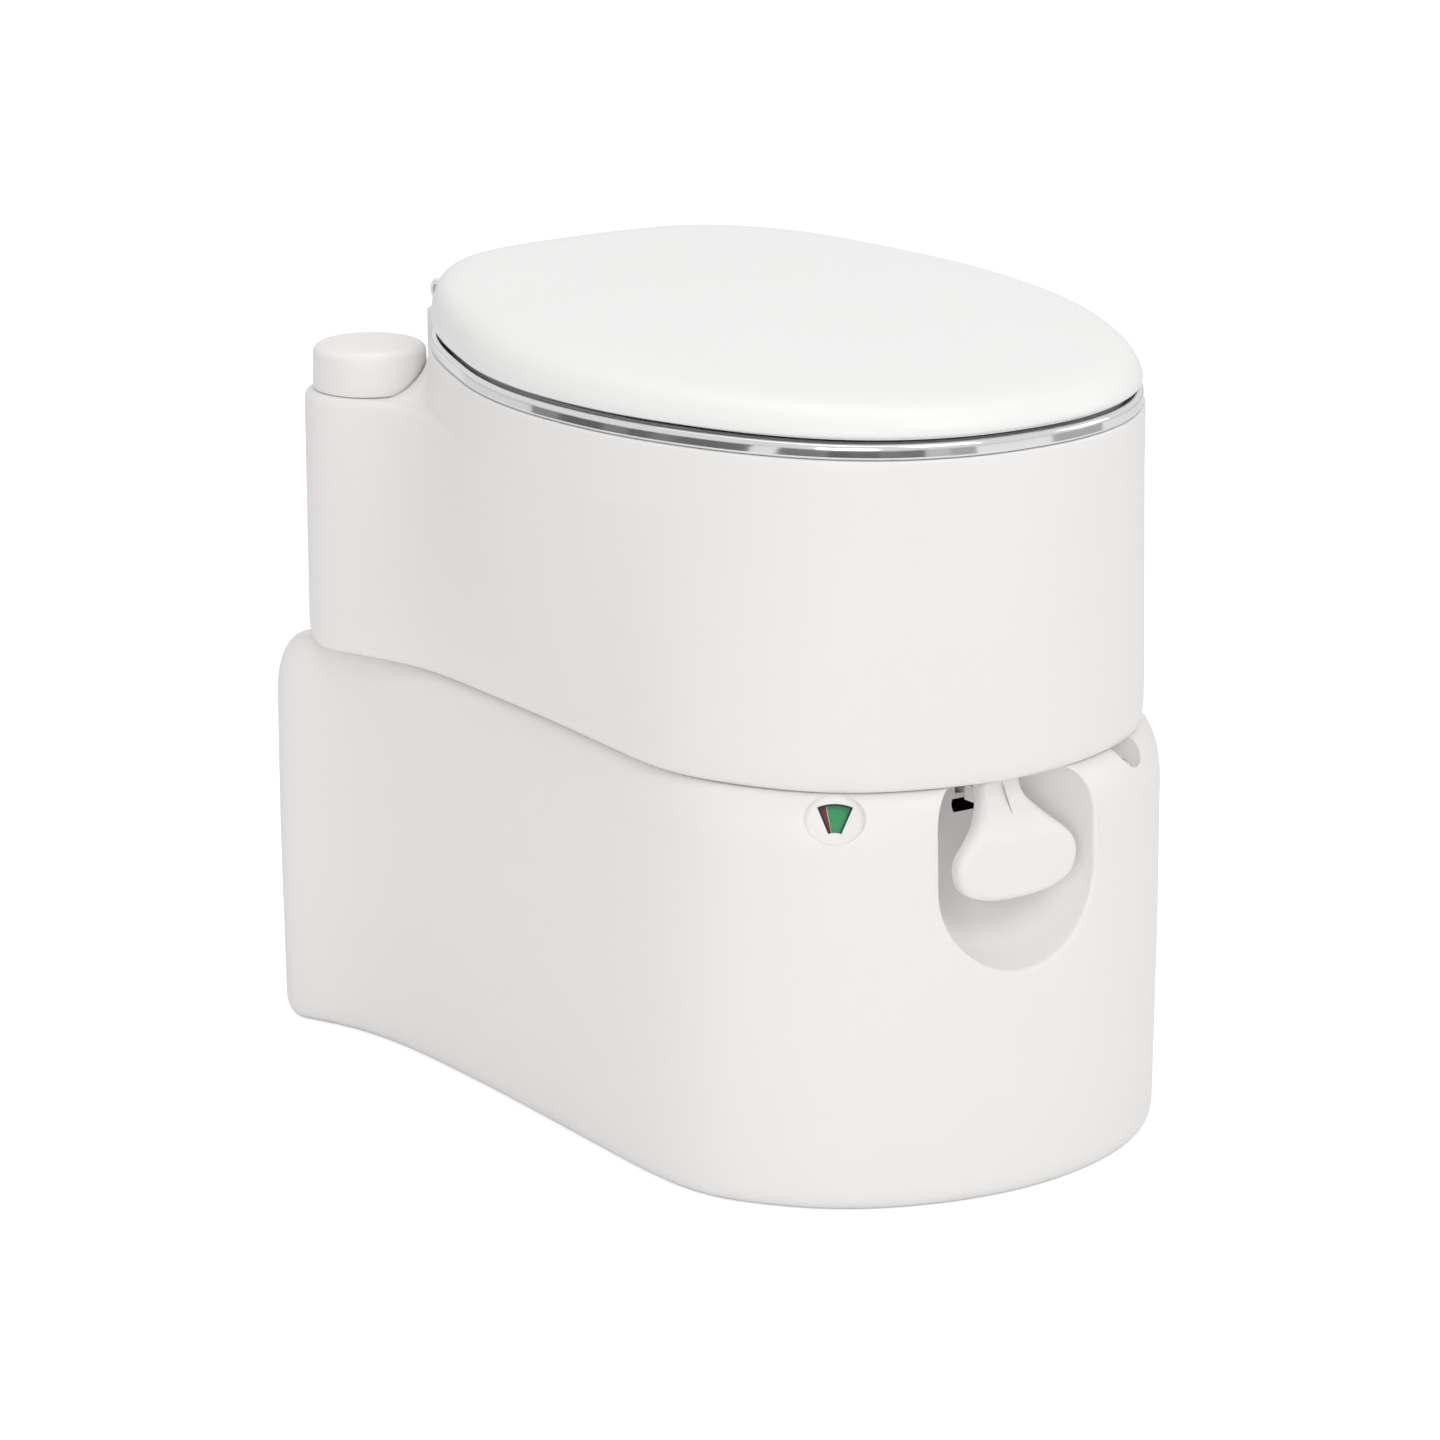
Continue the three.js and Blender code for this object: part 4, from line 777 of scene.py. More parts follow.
def flush_rings(thickness):
    rim = inset(rim_half, thickness) if thickness else rim_half
    rings = [
        ring(inset(foot_half, d + thickness), foot_z + thickness + z)
        for d, z in round_over(foot_inset, foot_round - thickness, 8)
    ]
    rings.append(ring(inset(foot_half, thickness), foot_z + waist_rise))
    for d, z in reversed(round_over(deck_inset, deck_round, 6)):
        rings.append(ring(widest(rim, inset(deck_half, d + thickness)), deck_z - thickness - z))
    for i in range(10):
        weight = 0.48 * (1 - i / 10) ** 2
        z = deck_z - thickness + max((i / 10) ** 2, 0.004) * (rim_z - deck_z)
        rings.append(ring(widest(rim, mix(rim, inset(deck_half, deck_inset), weight)), z))
    return rings


trim_inset, trim_width = 1, 8
rim_edge = [(0, 1.2), (0.15, 0.6), (0.5, 0.15), (1.1, 0)]
outer_rings = flush_rings(0) + [ring(inset(rim_half, d), rim_z - drop) for d, drop in rim_edge]
flange_half = inset(rim_half, trim_inset + trim_width + gap)
outer_rings += [ring(flange_half, rim_z), ring(flange_half, flange_z - 0.8),
                ring(inset(flange_half, 0.8), flange_z)]
flush_tank = stack("flush_tank_shell", outer_rings)
print("flush tank skin:", len(flush_tank.data.polygons), "faces")

# %% [markdown]
# ## The bowl, the ledge and the necks
#
# The bowl is a deep oval funnel that ends in the round mouth over the valve. Its upper edge rolls outwards.
# A raised ledge at the rear carries the hinge. The filler neck stands in a round seat on the left pillar,
# and the pump's barrel hangs in a hole on the right one.

# %% Parts that are joined to the flush tank or cut from it
bowl_half_width, bowl_front, bowl_rear, bowl_roll, bowl_power = 108, -166, 132, 3, 1.6
bowl_half = oval(bowl_half_width, bowl_front, bowl_rear)
ledge_half, ledge_depth = 70, 6.5
ledge_top = node_box("hinge_bracket_left")[0].z - gap
cap_radius = node_box("filler_cap")[1].x - pillar.x
neck_radius, neck_bore, pump_bore, nozzle_bore = 21.5, 18, 15.3, 7.3


def bowl(grow):
    rings = [ring(inset(bowl_half, -grow - bowl_roll), flange_z + overrun)]
    if not grow:
        rings += [ring(inset(bowl_half, -d), flange_z - z) for d, z in round_over(bowl_roll, bowl_roll, 4)]
    for i in range(2, 25):
        share = i / 24
        half = mix(mouth_half, bowl_half, 1 - share ** bowl_power)
        rings.append(ring(inset(half, -grow) if grow else half, flange_z - share * (flange_z - foot_z)))
    rings.append(ring(inset(mouth_half, -grow) if grow else mouth_half, foot_z - overrun))
    return stack("bowl", rings)


def nose_pocket(grow):
    margin = nose_play + grow
    low = (latch_low.x + nose_inset - margin, latch_low.y - latch_travel - margin,
           latch_high.z - nose_height - margin)
    high = (latch_high.x - nose_inset + margin, latch_low.y + overrun, latch_high.z + margin)
    return block("pocket", low, high)


nozzle = node_middle("rinse_nozzle")
ledge_rear = hinge.y + ledge_depth
ledge_block = block("ledge", (-ledge_half, hinge.y - ledge_depth, rim_z - 3.2),
                    (ledge_half, ledge_rear, ledge_top), 3)
soften(ledge_block, 1.2)
under_ledge = block("under", (-ledge_half, ledge_rear - 33, deck_z - 1.6),
                    (ledge_half, ledge_rear, rim_z), 3)
neck = shaft(neck_radius, deck_z - 1.6, node_box("filler_cap_seal")[0].z - gap, pillar[:2])
seats = [shaft(cap_radius + turn_play, deck_z, deck_z + overrun, (side * pillar.x, pillar.y), 96)
         for side in (-1, 1)]
nozzle_hole = turned("hole", [(nozzle_bore, -overrun), (nozzle_bore, overrun)], sides=32)
turn(nozzle_hole, Matrix.Translation(nozzle * mm) @ Matrix.Rotation(math.pi / 2, 4, "X"))

# %% The finished flush tank
flush_hollow = carve(stack("flush_hollow", flush_rings(wall) + [ring(inset(rim_half, wall), rim_z - wall)]),
                     bowl(wall), nose_pocket(wall))
weld(flush_tank, ledge_block, under_ledge)
carve(flush_tank, *seats)
weld(flush_tank, neck)
carve(flush_tank, flush_hollow, bowl(0), shaft(neck_bore, deck_z - overrun, deck_z + overrun, pillar[:2]),
      shaft(pump_bore, deck_z - overrun, deck_z + overrun, pump_place), nozzle_hole, nose_pocket(0))
dress(flush_tank, "flush_tank", white_plastic)
print("flush tank:", len(flush_tank.data.polygons), "faces")

# %% [markdown]
# ## The chrome ring
#
# A narrow chrome band runs round the rim under the lid. Its lower face is upright and mirrors what stands
# round it, and its upper edge rolls over and mirrors the bright ceiling. The section is closed on itself.

# %% The trim ring
trim_low, trim_high = node_box("trim_ring")
trim_height = trim_high.z - trim_low.z
trim_face_shares = [(0.09, 0), (0.03, 0.03), (0, 0.09), (0, 0.2), (0, 0.32), (0, 0.46), (0, 0.62)]
trim_roll_height, trim_roll_width = 0.38, 0.3


def trim_section():
    roll = round_over(trim_roll_height, trim_roll_width, 8)[1:]
    profile = [*trim_face_shares, *[(across, 1 - down) for down, across in roll], (1, 1), (1, 0)]
    return [
        ring(inset(rim_half, trim_inset + share * trim_width), trim_low.z + height * trim_height)
        for share, height in profile
    ]


trim_ring = stack("trim_ring_bright", trim_section(), looped=True)
dress(trim_ring, "trim_ring", chrome)

# %% [markdown]
# ## Seat and lid
#
# The seat is a flat oval ring with a soft crowned top. The lid's side rises almost straight, rolls over in
# a soft curve and ends in a nearly flat top that slopes down from the rear to the front. Towards the rear
# its side is taller, which makes it squarer there. Both turn on knuckles at the rear. The lid is a shell, so
# its skin starts inside under the top, runs down to the lower edge and back up outside.

# %% Knuckles and pin holes
pin_radius = 2.6
knuckle_radius = 6


def along_x(piece, y, z):
    place = Matrix.Translation(Vector((0, y, z)) * mm)
    return turn(piece, place @ Matrix.Rotation(math.pi / 2, 4, "Y"))


def hinge_bar(name, radius, low, high, edge, sides=48):
    profile = [(radius - edge, low), (radius, low + edge), (radius, high - edge), (radius - edge, high)]
    return along_x(turned(name, profile, sides=sides), hinge.y, hinge.z)


def knuckle(side, start, width, reach, arm_z):
    low, high = sorted((side * start, side * (start + width)))
    barrel = hinge_bar("barrel", knuckle_radius, low, high, 0.8)
    arm = block("arm", (low, hinge.y - reach, arm_z), (high, hinge.y, hinge.z + knuckle_radius / 2))
    return weld(barrel, soften(arm, 0.8))


def pin_hole():
    hole = turned("pin_hole", [(pin_radius + gap, -100), (pin_radius + gap, 100)], sides=32)
    return along_x(hole, hinge.y, hinge.z)


# %% The seat
seat_z = rim_z + 8.3
seat_thickness = 9
seat_edge = inset(rim_half, 9)
seat_opening = oval(93, -150, 102)
seat_knuckle = (39, 10.5, 29)
seat_section = [
    (0.03, 0), (0.005, 0.12), (0, 0.35), (0.004, 0.6), (0.02, 0.78), (0.05, 0.9), (0.1, 0.96), (0.2, 0.99),
    (0.36, 1), (0.56, 0.985), (0.74, 0.94), (0.86, 0.86), (0.94, 0.73), (0.985, 0.55), (1, 0.36),
    (0.995, 0.14), (0.96, 0),
]
seat = stack("seat_ring", [
    ring(mix(seat_edge, seat_opening, share), seat_z + height * seat_thickness)
    for share, height in seat_section
], looped=True)
weld(seat, *[knuckle(side, *seat_knuckle, seat_z + gap) for side in (-1, 1)])
carve(seat, pin_hole())
dress(seat, "seat", lid_plastic)

# %% The lid
lid_z = rim_z + 9.3
lid_height = 24.2
lid_rise_share = 0.34
lid_squareness = 0.6
lid_square_reach, lid_square_top = 0.5, 0.95
lid_wall = 2.6
lid_middle = -15
lid_knuckle = (61.5, 6, 24)
boss_radius = 8
notch_inner, notch_outer, notch_height = 37.5, 51, 9.4
lid_shares = [
    (0.012, 0), (0.003, 0.05), (0, 0.18), (0.009, 0.38), (0.028, 0.6), (0.058, 0.75), (0.11, 0.84),
    (0.3, 0.92), (0.55, 0.975), (0.8, 1), (0.985, 1.005),
]
hollow_shares = [(0, 0.12), (0, 0.28), (0.022, 0.56), (0.06, 0.74), (0.28, 0.9), (0.62, 0.97), (0.98, 0.99)]


def dome(half, shares, drop):
    points = [Vector(pair) for pair in shares]
    curve = curve_through(points, 2 * points[0] - points[1], 2 * points[-1] - points[-2], 5)
    rings = []
    for share, height in curve:
        level = ring(shrink(half, lid_middle, share), 0)
        for p in level:
            rear = min(1, max(0, p.y / half_length / lid_square_reach))
            rise = height * (1 + lid_squareness * rear * max(0, 1 - height / lid_square_top))
            p.z = lid_z + rise * lid_height * (1 + lid_rise_share * p.y / half_length) - drop
        rings.append(level)
    return rings


lid_edge = inset(rim_half, 1.5)
lid_inner = inset(lid_edge, lid_wall)
inside = dome(lid_inner, hollow_shares, lid_wall)
lower_edge = [ring(lid_inner, lid_z + 0.3), ring(inset(lid_edge, lid_wall - 0.4), lid_z)]
lid = stack("lid_shell", [*reversed(inside), *lower_edge, *dome(lid_edge, lid_shares, 0)])


def lid_boss(node):
    middle = node_middle(node)
    low_z = node_box(node)[1].z + gap
    ceiling = lid.ray_cast(Vector((middle.x, middle.y, low_z)) * mm, Vector((0, 0, 1)))[1].z / mm
    return shaft(boss_radius, low_z, ceiling + lid_wall / 2, middle[:2], 48)


def seat_notch(side):
    left, right = sorted((side * notch_inner, side * notch_outer))
    low, high = lid_edge[-1].y - overrun, lid_edge[-1].y + overrun
    return block("notch", (left, low, lid_z - overrun), (right, high, lid_z + notch_height))


weld(lid, *[lid_boss(f"lid_bumper_{i}") for i in (1, 2)])
weld(lid, *[knuckle(side, *lid_knuckle, lid_z) for side in (-1, 1)])
carve(lid, *[seat_notch(side) for side in (-1, 1)], pin_hole())
dress(lid, "lid", lid_plastic)
print("lid:", len(lid.data.polygons), "faces")

# %% [markdown]
# ## Filler cap, pump knob and vent button
#
# These are turned shapes: a profile goes round an axis. The filler cap is a plain cup with a soft edge and
# a very slightly domed top. The pump's collar and knob sit on the other pillar. The spring under the vent
# button is a row of small rings along a helix.

# %% The filler cap
cap_low, cap_high = node_box("filler_cap")
cap_top = cap_high.z + 4.5
cap_wall, cap_edge = 2.6, 5.2


def filler_cap():
    inner = cap_radius - cap_wall
    inner_top = cap_top - cap_wall
    profile = [(0.4, inner_top), (inner - 1, inner_top), (inner, inner_top - 1), (inner, cap_low.z + 0.4),
               (inner + 0.4, cap_low.z), (cap_radius - 0.9, cap_low.z), (cap_radius - 0.35, cap_low.z + 0.3),
               (cap_radius, cap_low.z + 0.9)]
    for down, across in round_over(0.8 * cap_edge, cap_edge, 8):
        profile.append((cap_radius - 0.4 - across, cap_top - 0.7 - down))
    profile += [(cap_radius * 0.6, cap_top - 0.45), (cap_radius * 0.3, cap_top - 0.1), (0.4, cap_top)]
    return turned("filler_cap_round", profile, pillar[:2], 96)


dress(filler_cap(), "filler_cap", white_plastic)

# %% The pump's collar and knob
collar_low, collar_high = node_box("pump_collar")
knob_low, knob_high = node_box("pump_knob")


def pump_collar():
    bore, flange, radius = 4.3, 21.3, 27
    under, low, high = node_box("pump_cylinder")[1].z + gap, collar_low.z, collar_high.z
    profile = [(bore, under), (flange, under), (flange, low), (radius - 0.4, low), (radius, low + 0.4),
               (radius, high - 2.4), (radius - 0.6, high - 1), (radius - 1.8, high - 0.25),
               (radius - 3.4, high), (bore, high)]
    return turned("pump_collar_round", profile, pump_place, 96, looped=True)


def pump_knob():
    radius, bore, edge, low, high = 22, 4.3, 4.5, knob_low.z, knob_high.z
    profile = [(0.4, low + 8), (bore, low + 8), (bore, low), (radius - 3, low), (radius - 1, low + 0.8),
               (radius - 0.2, low + 2.4), (radius, low + 4)]
    profile += [(radius - across, high - down) for down, across in round_over(edge, edge, 7)]
    profile += [(radius * 0.6, high - 0.1), (radius * 0.5, high - 0.9), (0.4, high - 1.6)]
    return turned("pump_knob_round", profile, pump_place, 96)


dress(pump_collar(), "pump_collar", white_plastic)
dress(pump_knob(), "pump_knob", white_plastic)

# %% The vent button
button_low, button_high = node_box("vent_button")


def vent_button():
    low, high = button_low.z, button_high.z
    profile = [(2, low), (2, high - 5), (5.6, high - 5), (6, high - 4.6), (6, high - 1.4), (5.6, high - 0.5),
               (4.8, high - 0.1), (3.4, high - 0.2), (1.6, high - 0.6), (0.3, high - 0.7)]
    return turned("vent_button_round", profile, vent[:2], 48)


dress(vent_button(), "vent_button", white_plastic)

# %% The vent's spring
spring_low, spring_high = node_box("vent_spring")
spring_turns, spring_steps, wire_radius = 5, 20, 0.4
spring_length = spring_high.z - spring_low.z


def vent_spring():
    radius = (spring_high.x - spring_low.x) / 2 - wire_radius
    count = spring_turns * spring_steps
    rings = []
    for i in range(count + 1):
        angle = 2 * math.pi * i / spring_steps
        out = Vector((math.cos(angle), math.sin(angle), 0))
        rise = wire_radius + (spring_length - 2 * wire_radius) * i / count
        centre = Vector((vent.x, vent.y, spring_low.z + rise)) + radius * out
        rings.append([centre + wire_radius * (math.cos(t) * out + math.sin(t) * Vector((0, 0, 1)))
                      for t in full_turn(8)])
    return stack("vent_spring_coil", rings)


spring = dress(vent_spring(), "vent_spring", steel)
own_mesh(spring)
print("spring:", round(spring_length, 1), "mm long")

# %% [markdown]
# ## The valve handle
#
# The handle is a soft flared paddle, narrow at its neck and wide at its lower lobe. Rings that shrink
# towards the front and the back round its edge all the way, and the last few close in on its spine, so that
# both faces stay smooth. The neck leans back towards the stem, and the lobe stands out for the fingers.

# %% The paddle
handle_low, handle_high = node_box("valve_handle")
paddle_shares = [
    (0, 0), (0.27, 0), (0.37, -0.16), (0.57, -0.31), (0.8, -0.44), (0.96, -0.56), (1, -0.7), (0.9, -0.86),
    (0.6, -0.96), (0, -1),
]
paddle_half_width, paddle_height, paddle_thickness = 33, 52, 9
front_edge, back_edge, fade_start, fade_reach = 4, 1.6, 0.05, 10
spine_shares = (0.004, 0.35, 0.7)
neck_lean, neck_reach = 15, 26
stem_width = 15
sleeve_wall, sleeve_front, sleeve_rear = 1.2, 6, 9


def paddle_outline():
    right = [Vector((x * paddle_half_width, z * paddle_height)) for x, z in paddle_shares]
    dense = [right[0], *curve_through(right[1:], right[0], flipped(right[-2]), 7)]
    full = dense + [flipped(p) for p in dense[-2:0:-1]]
    return [Vector((pull_x + p.x, 0, handle_high.z + p.y)) for p in full]


def paddle_ring(points, distance, y):
    moved = []
    for p, q in zip(points, spread(points, -1)):
        fade = min(1, fade_start + (handle_high.z - p.z) / fade_reach)
        moved.append(p + (q - p) * distance * fade + Vector((0, y, 0)))
    return moved


def to_spine(points, share):
    return [Vector((pull_x + share * (p.x - pull_x), p.y, p.z)) for p in points]


def paddle():
    points, front = paddle_outline(), handle_low.y
    rings = [paddle_ring(points, d, front + y) for d, y in round_over(front_edge, front_edge, 6)]
    for d, y in reversed(round_over(back_edge, back_edge, 3)):
        rings.append(paddle_ring(points, d, front + paddle_thickness - y))
    rings = [to_spine(rings[0], share) for share in spine_shares] + rings
    rings += [to_spine(rings[-1], share) for share in reversed(spine_shares)]
    for p in (p for row in rings for p in row):
        depth = min(1, (handle_high.z - p.z) / neck_reach)
        p.y += neck_lean * (1 - depth * depth * (3 - 2 * depth))
    return stack("valve_paddle", rings)


def paddle_socket():
    back = handle_low.y + paddle_thickness + neck_lean - sleeve_wall
    half = stem_width / 2
    reach = half + sleeve_wall
    sleeve = block("sleeve", (pull_x - reach, back - sleeve_front, blade_low.z - 2 * sleeve_wall),
                   (pull_x + reach, back + sleeve_rear, blade_high.z + 2 * sleeve_wall), 0.8)
    bore = block("bore", (pull_x - half - gap, back + gap, blade_low.z - gap),
                 (pull_x + half + gap, back + sleeve_rear + overrun, blade_high.z + gap))
    return carve(sleeve, bore)


dress(weld(paddle(), paddle_socket()), "valve_handle", white_plastic, 50)

# %% [markdown]
# ## The valve under the bowl
#
# A frame, a sliding blade and a cover with a round mouth close the tank. They show when the flush tank is
# lifted off, and the mouth shows at the bottom of the bowl.

# %% Frame, cover and seals
screw_nodes = [f"valve_screw_{i}" for i in range(1, 5)]
seal_seat_radius = 51.3
cover_dish, dish_rim, dish_opening = 4, 5, 56
channel_rim, stem_gap_depth = 3.5, 7
screw_bore, screw_seat, screw_head = 2, 3.9, 1.8
stem_left, stem_right = pull_x - stem_width / 2, pull_x + stem_width / 2


def screw_holes():
    cutters = []
    for node in screw_nodes:
        middle = node_middle(node)[:2]
        head_z = cover_high.z - cover_dish - screw_head - gap
        cutters.append(shaft(screw_bore, valve_low.z + wall / 2, tank_top, middle, 24))
        cutters.append(shaft(screw_seat, head_z, tank_top + overrun, middle, 32))
    return cutters


def mouth_holes(seal, low_z, high_z):
    seat_z = node_box(seal)[0].z - gap
    return [shaft(mouth_radius, low_z - overrun, high_z, mouth_middle, 96),
            shaft(seal_seat_radius, seat_z, high_z, mouth_middle, 96)]


def valve_frame():
    body = block("valve_frame_tray", valve_low, valve_high, 6)
    half, floor = blade_high.x + gap, blade_low.z - gap
    channel = block("channel", (-half, valve_low.y + channel_rim, floor),
                    (half, valve_high.y - channel_rim, tank_top + overrun), 2)
    stem = block("stem_gap", (stem_left - gap, valve_low.y - overrun, floor),
                 (stem_right + gap, valve_low.y + stem_gap_depth, tank_top + overrun))
    return carve(body, channel, stem, *mouth_holes("blade_seal", valve_low.z, tank_top), *screw_holes())


def valve_cover():
    body = soften(block("valve_cover_plate", cover_low, cover_high, 6), 0.6)
    floor, top = cover_high.z - cover_dish, tank_top + overrun
    dish = block("dish", (cover_low.x + dish_rim, cover_low.y + dish_rim, floor),
                 (cover_high.x - dish_rim, cover_high.y - dish_rim, top), 3)
    carve(dish, shaft(dish_opening, floor - overrun, floor + 2 * overrun, mouth_middle, 96))
    return carve(body, dish, *mouth_holes("mouth_seal", cover_low.z, top), *screw_holes())


def seal_ring(node):
    low, high = node_box(node)
    inner, outer, edge = mouth_radius, (high.x - low.x) / 2, 0.6
    profile = [(inner, low.z), (outer - edge, low.z), (outer, low.z + edge), (outer, high.z - edge),
               (outer - edge, high.z), (inner + edge, high.z), (inner, high.z - edge)]
    return turned(node + "_ring", profile, mouth_middle, 96, looped=True)


dress(valve_frame(), "valve_frame", grey_plastic)
dress(valve_cover(), "valve_cover", white_plastic)
for node in ("blade_seal", "mouth_seal"):
    dress(seal_ring(node), node, dark_rubber_and_painted_shadow)

# %% Blade and screws
plate_front, stem_rear = -49, -43


def slide_blade():
    plate = block("slide_blade_plate", (blade_low.x, plate_front, blade_low.z), blade_high, 6)
    stem = block("stem", (stem_left, blade_low.y + neck_lean, blade_low.z),
                 (stem_right, stem_rear, blade_high.z))
    return soften(weld(plate, stem), 0.4, 2)


def screw(node):
    low, high = node_box(node)
    x, y = node_middle(node)[:2]
    under = high.z - screw_head
    profile = [(1.3, low.z), (1.7, low.z + 0.6), (1.7, under), (3.4, under),
               (3.6, high.z - 1.5), (3.5, high.z - 0.7), (2.9, high.z - 0.2), (1.8, high.z)]
    cross = [block("drive", (x - a, y - b, high.z - 0.9), (x + a, y + b, high.z + 1))
             for a, b in ((2.1, 0.4), (0.4, 2.1))]
    return carve(turned(node + "_head", profile, (x, y), 32), *cross)


dress(slide_blade(), "slide_blade", grey_plastic)
for node in screw_nodes:
    dress(screw(node), node, steel)

# %% [markdown]
# ## The indicator's window and dial
#
# Behind the clear window a dial turns with the float. It is printed green for room in the tank and red for
# full, with a thin pale line between them. Here the print is given to the dial's faces by their angle. A
# thin dark rim on the window, on all sides but the lower one, is painted shadow of the pocket's wall on the
# dial.

# %% Dial and lens
print_green = plastic("green print", (0.01, 0.33, 0.1), 0.45, shine=0.15)
print_red = plastic("red print", (0.19, 0.012, 0.008), 0.45, shine=0.15)
print_pale = plastic("pale line", (0.75, 0.72, 0.62), 0.45)
dial_inner, dial_outer, dial_thickness = 1.5, chamber_radius - gap, 1.2
dial_angles = range(-62, 27)
green_start, line_start = -11, -12
# The lens is this thick, and its dark rim is this wide; the rim is painted shadow of the pocket's wall on
# the dial.
lens_thickness, shadow_border_width = 1.4, 0.7


def dial_slice(angle, front, back):
    across = Vector((math.sin(math.radians(angle)), 0, math.cos(math.radians(angle))))
    corners = ((dial_inner, front), (dial_outer, front), (dial_outer, back), (dial_inner, back))
    return [r * across + Vector((0, y, -pivot_drop)) for r, y in corners]


def indicator_dial():
    front = chamber_front + gap
    back = front + dial_thickness
    dial = stack("indicator_dial_fan", [dial_slice(angle, front, back) for angle in dial_angles])
    return weld(turn(dial, indicator_place), hub(hub_radius - gap, front, back))


def print_and_shadow_faces(piece, finishes, choose):
    for finish in finishes:
        piece.data.materials.append(finish)
    upright = indicator_place.inverted()
    for face in piece.data.polygons:
        face.material_index = choose(upright @ face.center / mm, len(face.vertices))


def dial_print(spot, sides):
    angle = math.degrees(math.atan2(spot.x, spot.z + pivot_drop))
    return 0 if angle > green_start else 2 if angle > line_start else 1


# The lens's edge and rim faces, on all sides but the lower one, get the dark finish as painted shadow; the
# other faces stay clear.
def lens_shadow_border(spot, sides):
    return 0 if spot.z < window_inner - pivot_drop + 1 or sides > 8 else 1


dial = dress(indicator_dial(), "indicator_dial", print_green)
window = fan(window_inner + gap, window_outer - gap, window_angle - 1, lens_front)
behind = [p + Vector((0, lens_thickness, 0)) for p in window]
lens = tilted("indicator_lens_window", [behind, window, spread(window, -shadow_border_width)])
dress(lens, "indicator_lens", clear_plastic)

# %% [markdown]
# ## The swivel spout
#
# The spout folds into the alcove at the rear. It is a tube along a bent path: rings are laid square to the
# path outside, and then back inside. A ribbed cap closes it.

# %% The spout's tube
spout_axis_z = node_middle("spout_cap").z
spout_bend, spout_bore, spout_end = 21, 15, 2


def spout_stations():
    stations = [(Vector((spout_x, spout_y, alcove_floor - 6.4)), 0)]
    for t in quarter_turn(12):
        x = spout_x - spout_bend * (1 - math.cos(t))
        z = spout_axis_z - spout_bend * (1 - math.sin(t))
        stations.append((Vector((x, spout_y, z)), t))
    return [*stations, (Vector((spout_end, spout_y, spout_axis_z)), math.pi / 2)]


def spout_ring(station, radius):
    centre, angle = station
    across = Vector((math.cos(angle), 0, math.sin(angle)))
    sideways = Vector((0, 1, 0))
    return [centre + radius * (math.cos(t) * across + math.sin(t) * sideways) for t in full_turn(48)]


def spout_turned(name, profile):
    return turned(name, [(r, alcove_floor + z) for r, z in profile], spout_middle, looped=True)


def pour_spout():
    stations = spout_stations()
    outer = [spout_ring(station, spout_radius) for station in stations]
    inner = [spout_ring(station, spout_bore) for station in reversed(stations)]
    tube = stack("pour_spout_tube", outer + inner, looped=True)
    flange = [(16.5, 0.3), (22.7, 0.3), (23, 0.6), (23, 5), (22.7, 5.3), (16.5, 5.3)]
    groove = [(19.2, -overrun), (21.8, -overrun), (21.8, 2.9), (19.2, 2.9)]
    return carve(weld(tube, spout_turned("flange", flange)), spout_turned("groove", groove))


def spout_retainer():
    return spout_turned("spout_retainer_ring", [
        (18.8, 5.6), (23.8, 5.6), (23.8, 0.3), (27, 0.3), (27, 8.1), (26, 9.1), (19.3, 9.1), (18.8, 8.6),
    ])


dress(pour_spout(), "pour_spout", grey_plastic)
dress(spout_retainer(), "spout_retainer", grey_plastic)

# %% The spout's cap and seals
spout_cap_low, spout_cap_high = node_box("spout_cap")
spout_cap_wall, rib_count, rib_height = 3, 18, 1.2


def ribbed(radius, x):
    points = []
    for t in full_turn(144):
        reach = radius + rib_height * (0.5 + 0.5 * math.cos(rib_count * t)) ** 0.6
        points.append(Vector((x, spout_y + reach * math.cos(t), spout_axis_z + reach * math.sin(t))))
    return points


def spout_cap():
    bore = spout_radius + turn_play
    radius = bore + spout_cap_wall
    left, right = spout_cap_low.x, spout_cap_high.x
    levels = [(-5, left), (-1.6, left), (-0.6, left + 0.4), (0, left + 1.4), (0, right - 0.8), (-0.7, right)]
    cap = stack("spout_cap_ribbed", [ribbed(radius + d, x) for d, x in levels])
    hole = turned("bore", [(bore, left + spout_cap_wall), (bore, right + overrun)])
    return carve(cap, along_x(hole, spout_y, spout_axis_z))


def flat_ring(node, inner, outer):
    low, high = node_box(node)
    profile = [(inner, low.x), (outer - 0.4, low.x), (outer, low.x + 0.4), (outer, high.x - 0.4),
               (outer - 0.4, high.x), (inner, high.x)]
    return along_x(turned(node + "_ring", profile, looped=True), spout_y, spout_axis_z)


dress(spout_cap(), "spout_cap", grey_plastic)
dress(flat_ring("spout_cap_seal", spout_bore, spout_radius), "spout_cap_seal", dark_rubber_and_painted_shadow)

# %% [markdown]
# ## Hinge, bumpers and latch
#
# Two brackets on the ledge carry steel pins. Rubber bumpers keep the seat off the rim and the lid off the
# seat. The dock latch is a small slider at the rear.

# %% Brackets and pins
pin_reach = 67.8


def bracket(node):
    low, high = node_box(node)
    post = block("post", low, (high.x, high.y, hinge.z))
    piece = weld(soften(post, 0.8), hinge_bar("head", 6.5, low.x, high.x, 0.8))
    piece.name = node + "_round"
    return carve(piece, pin_hole())


def pin(node):
    low, high = [max(-pin_reach, min(pin_reach, corner.x)) for corner in node_box(node)]
    return hinge_bar(node + "_bar", pin_radius, low, high, 0.5, 32)


for side in ("left", "right"):
    dress(bracket("hinge_bracket_" + side), "hinge_bracket_" + side, white_plastic)
    dress(pin("hinge_pin_" + side), "hinge_pin_" + side, steel)

# %% Bumpers and latch


def bumper(node):
    low, high = node_box(node)
    radius = (high.x - low.x) / 2
    profile = [(radius - 0.6, low.z), (radius, low.z + 0.5), (radius, high.z - 0.5), (radius - 0.6, high.z)]
    return turned(node + "_pad", profile, node_middle(node)[:2], 48)


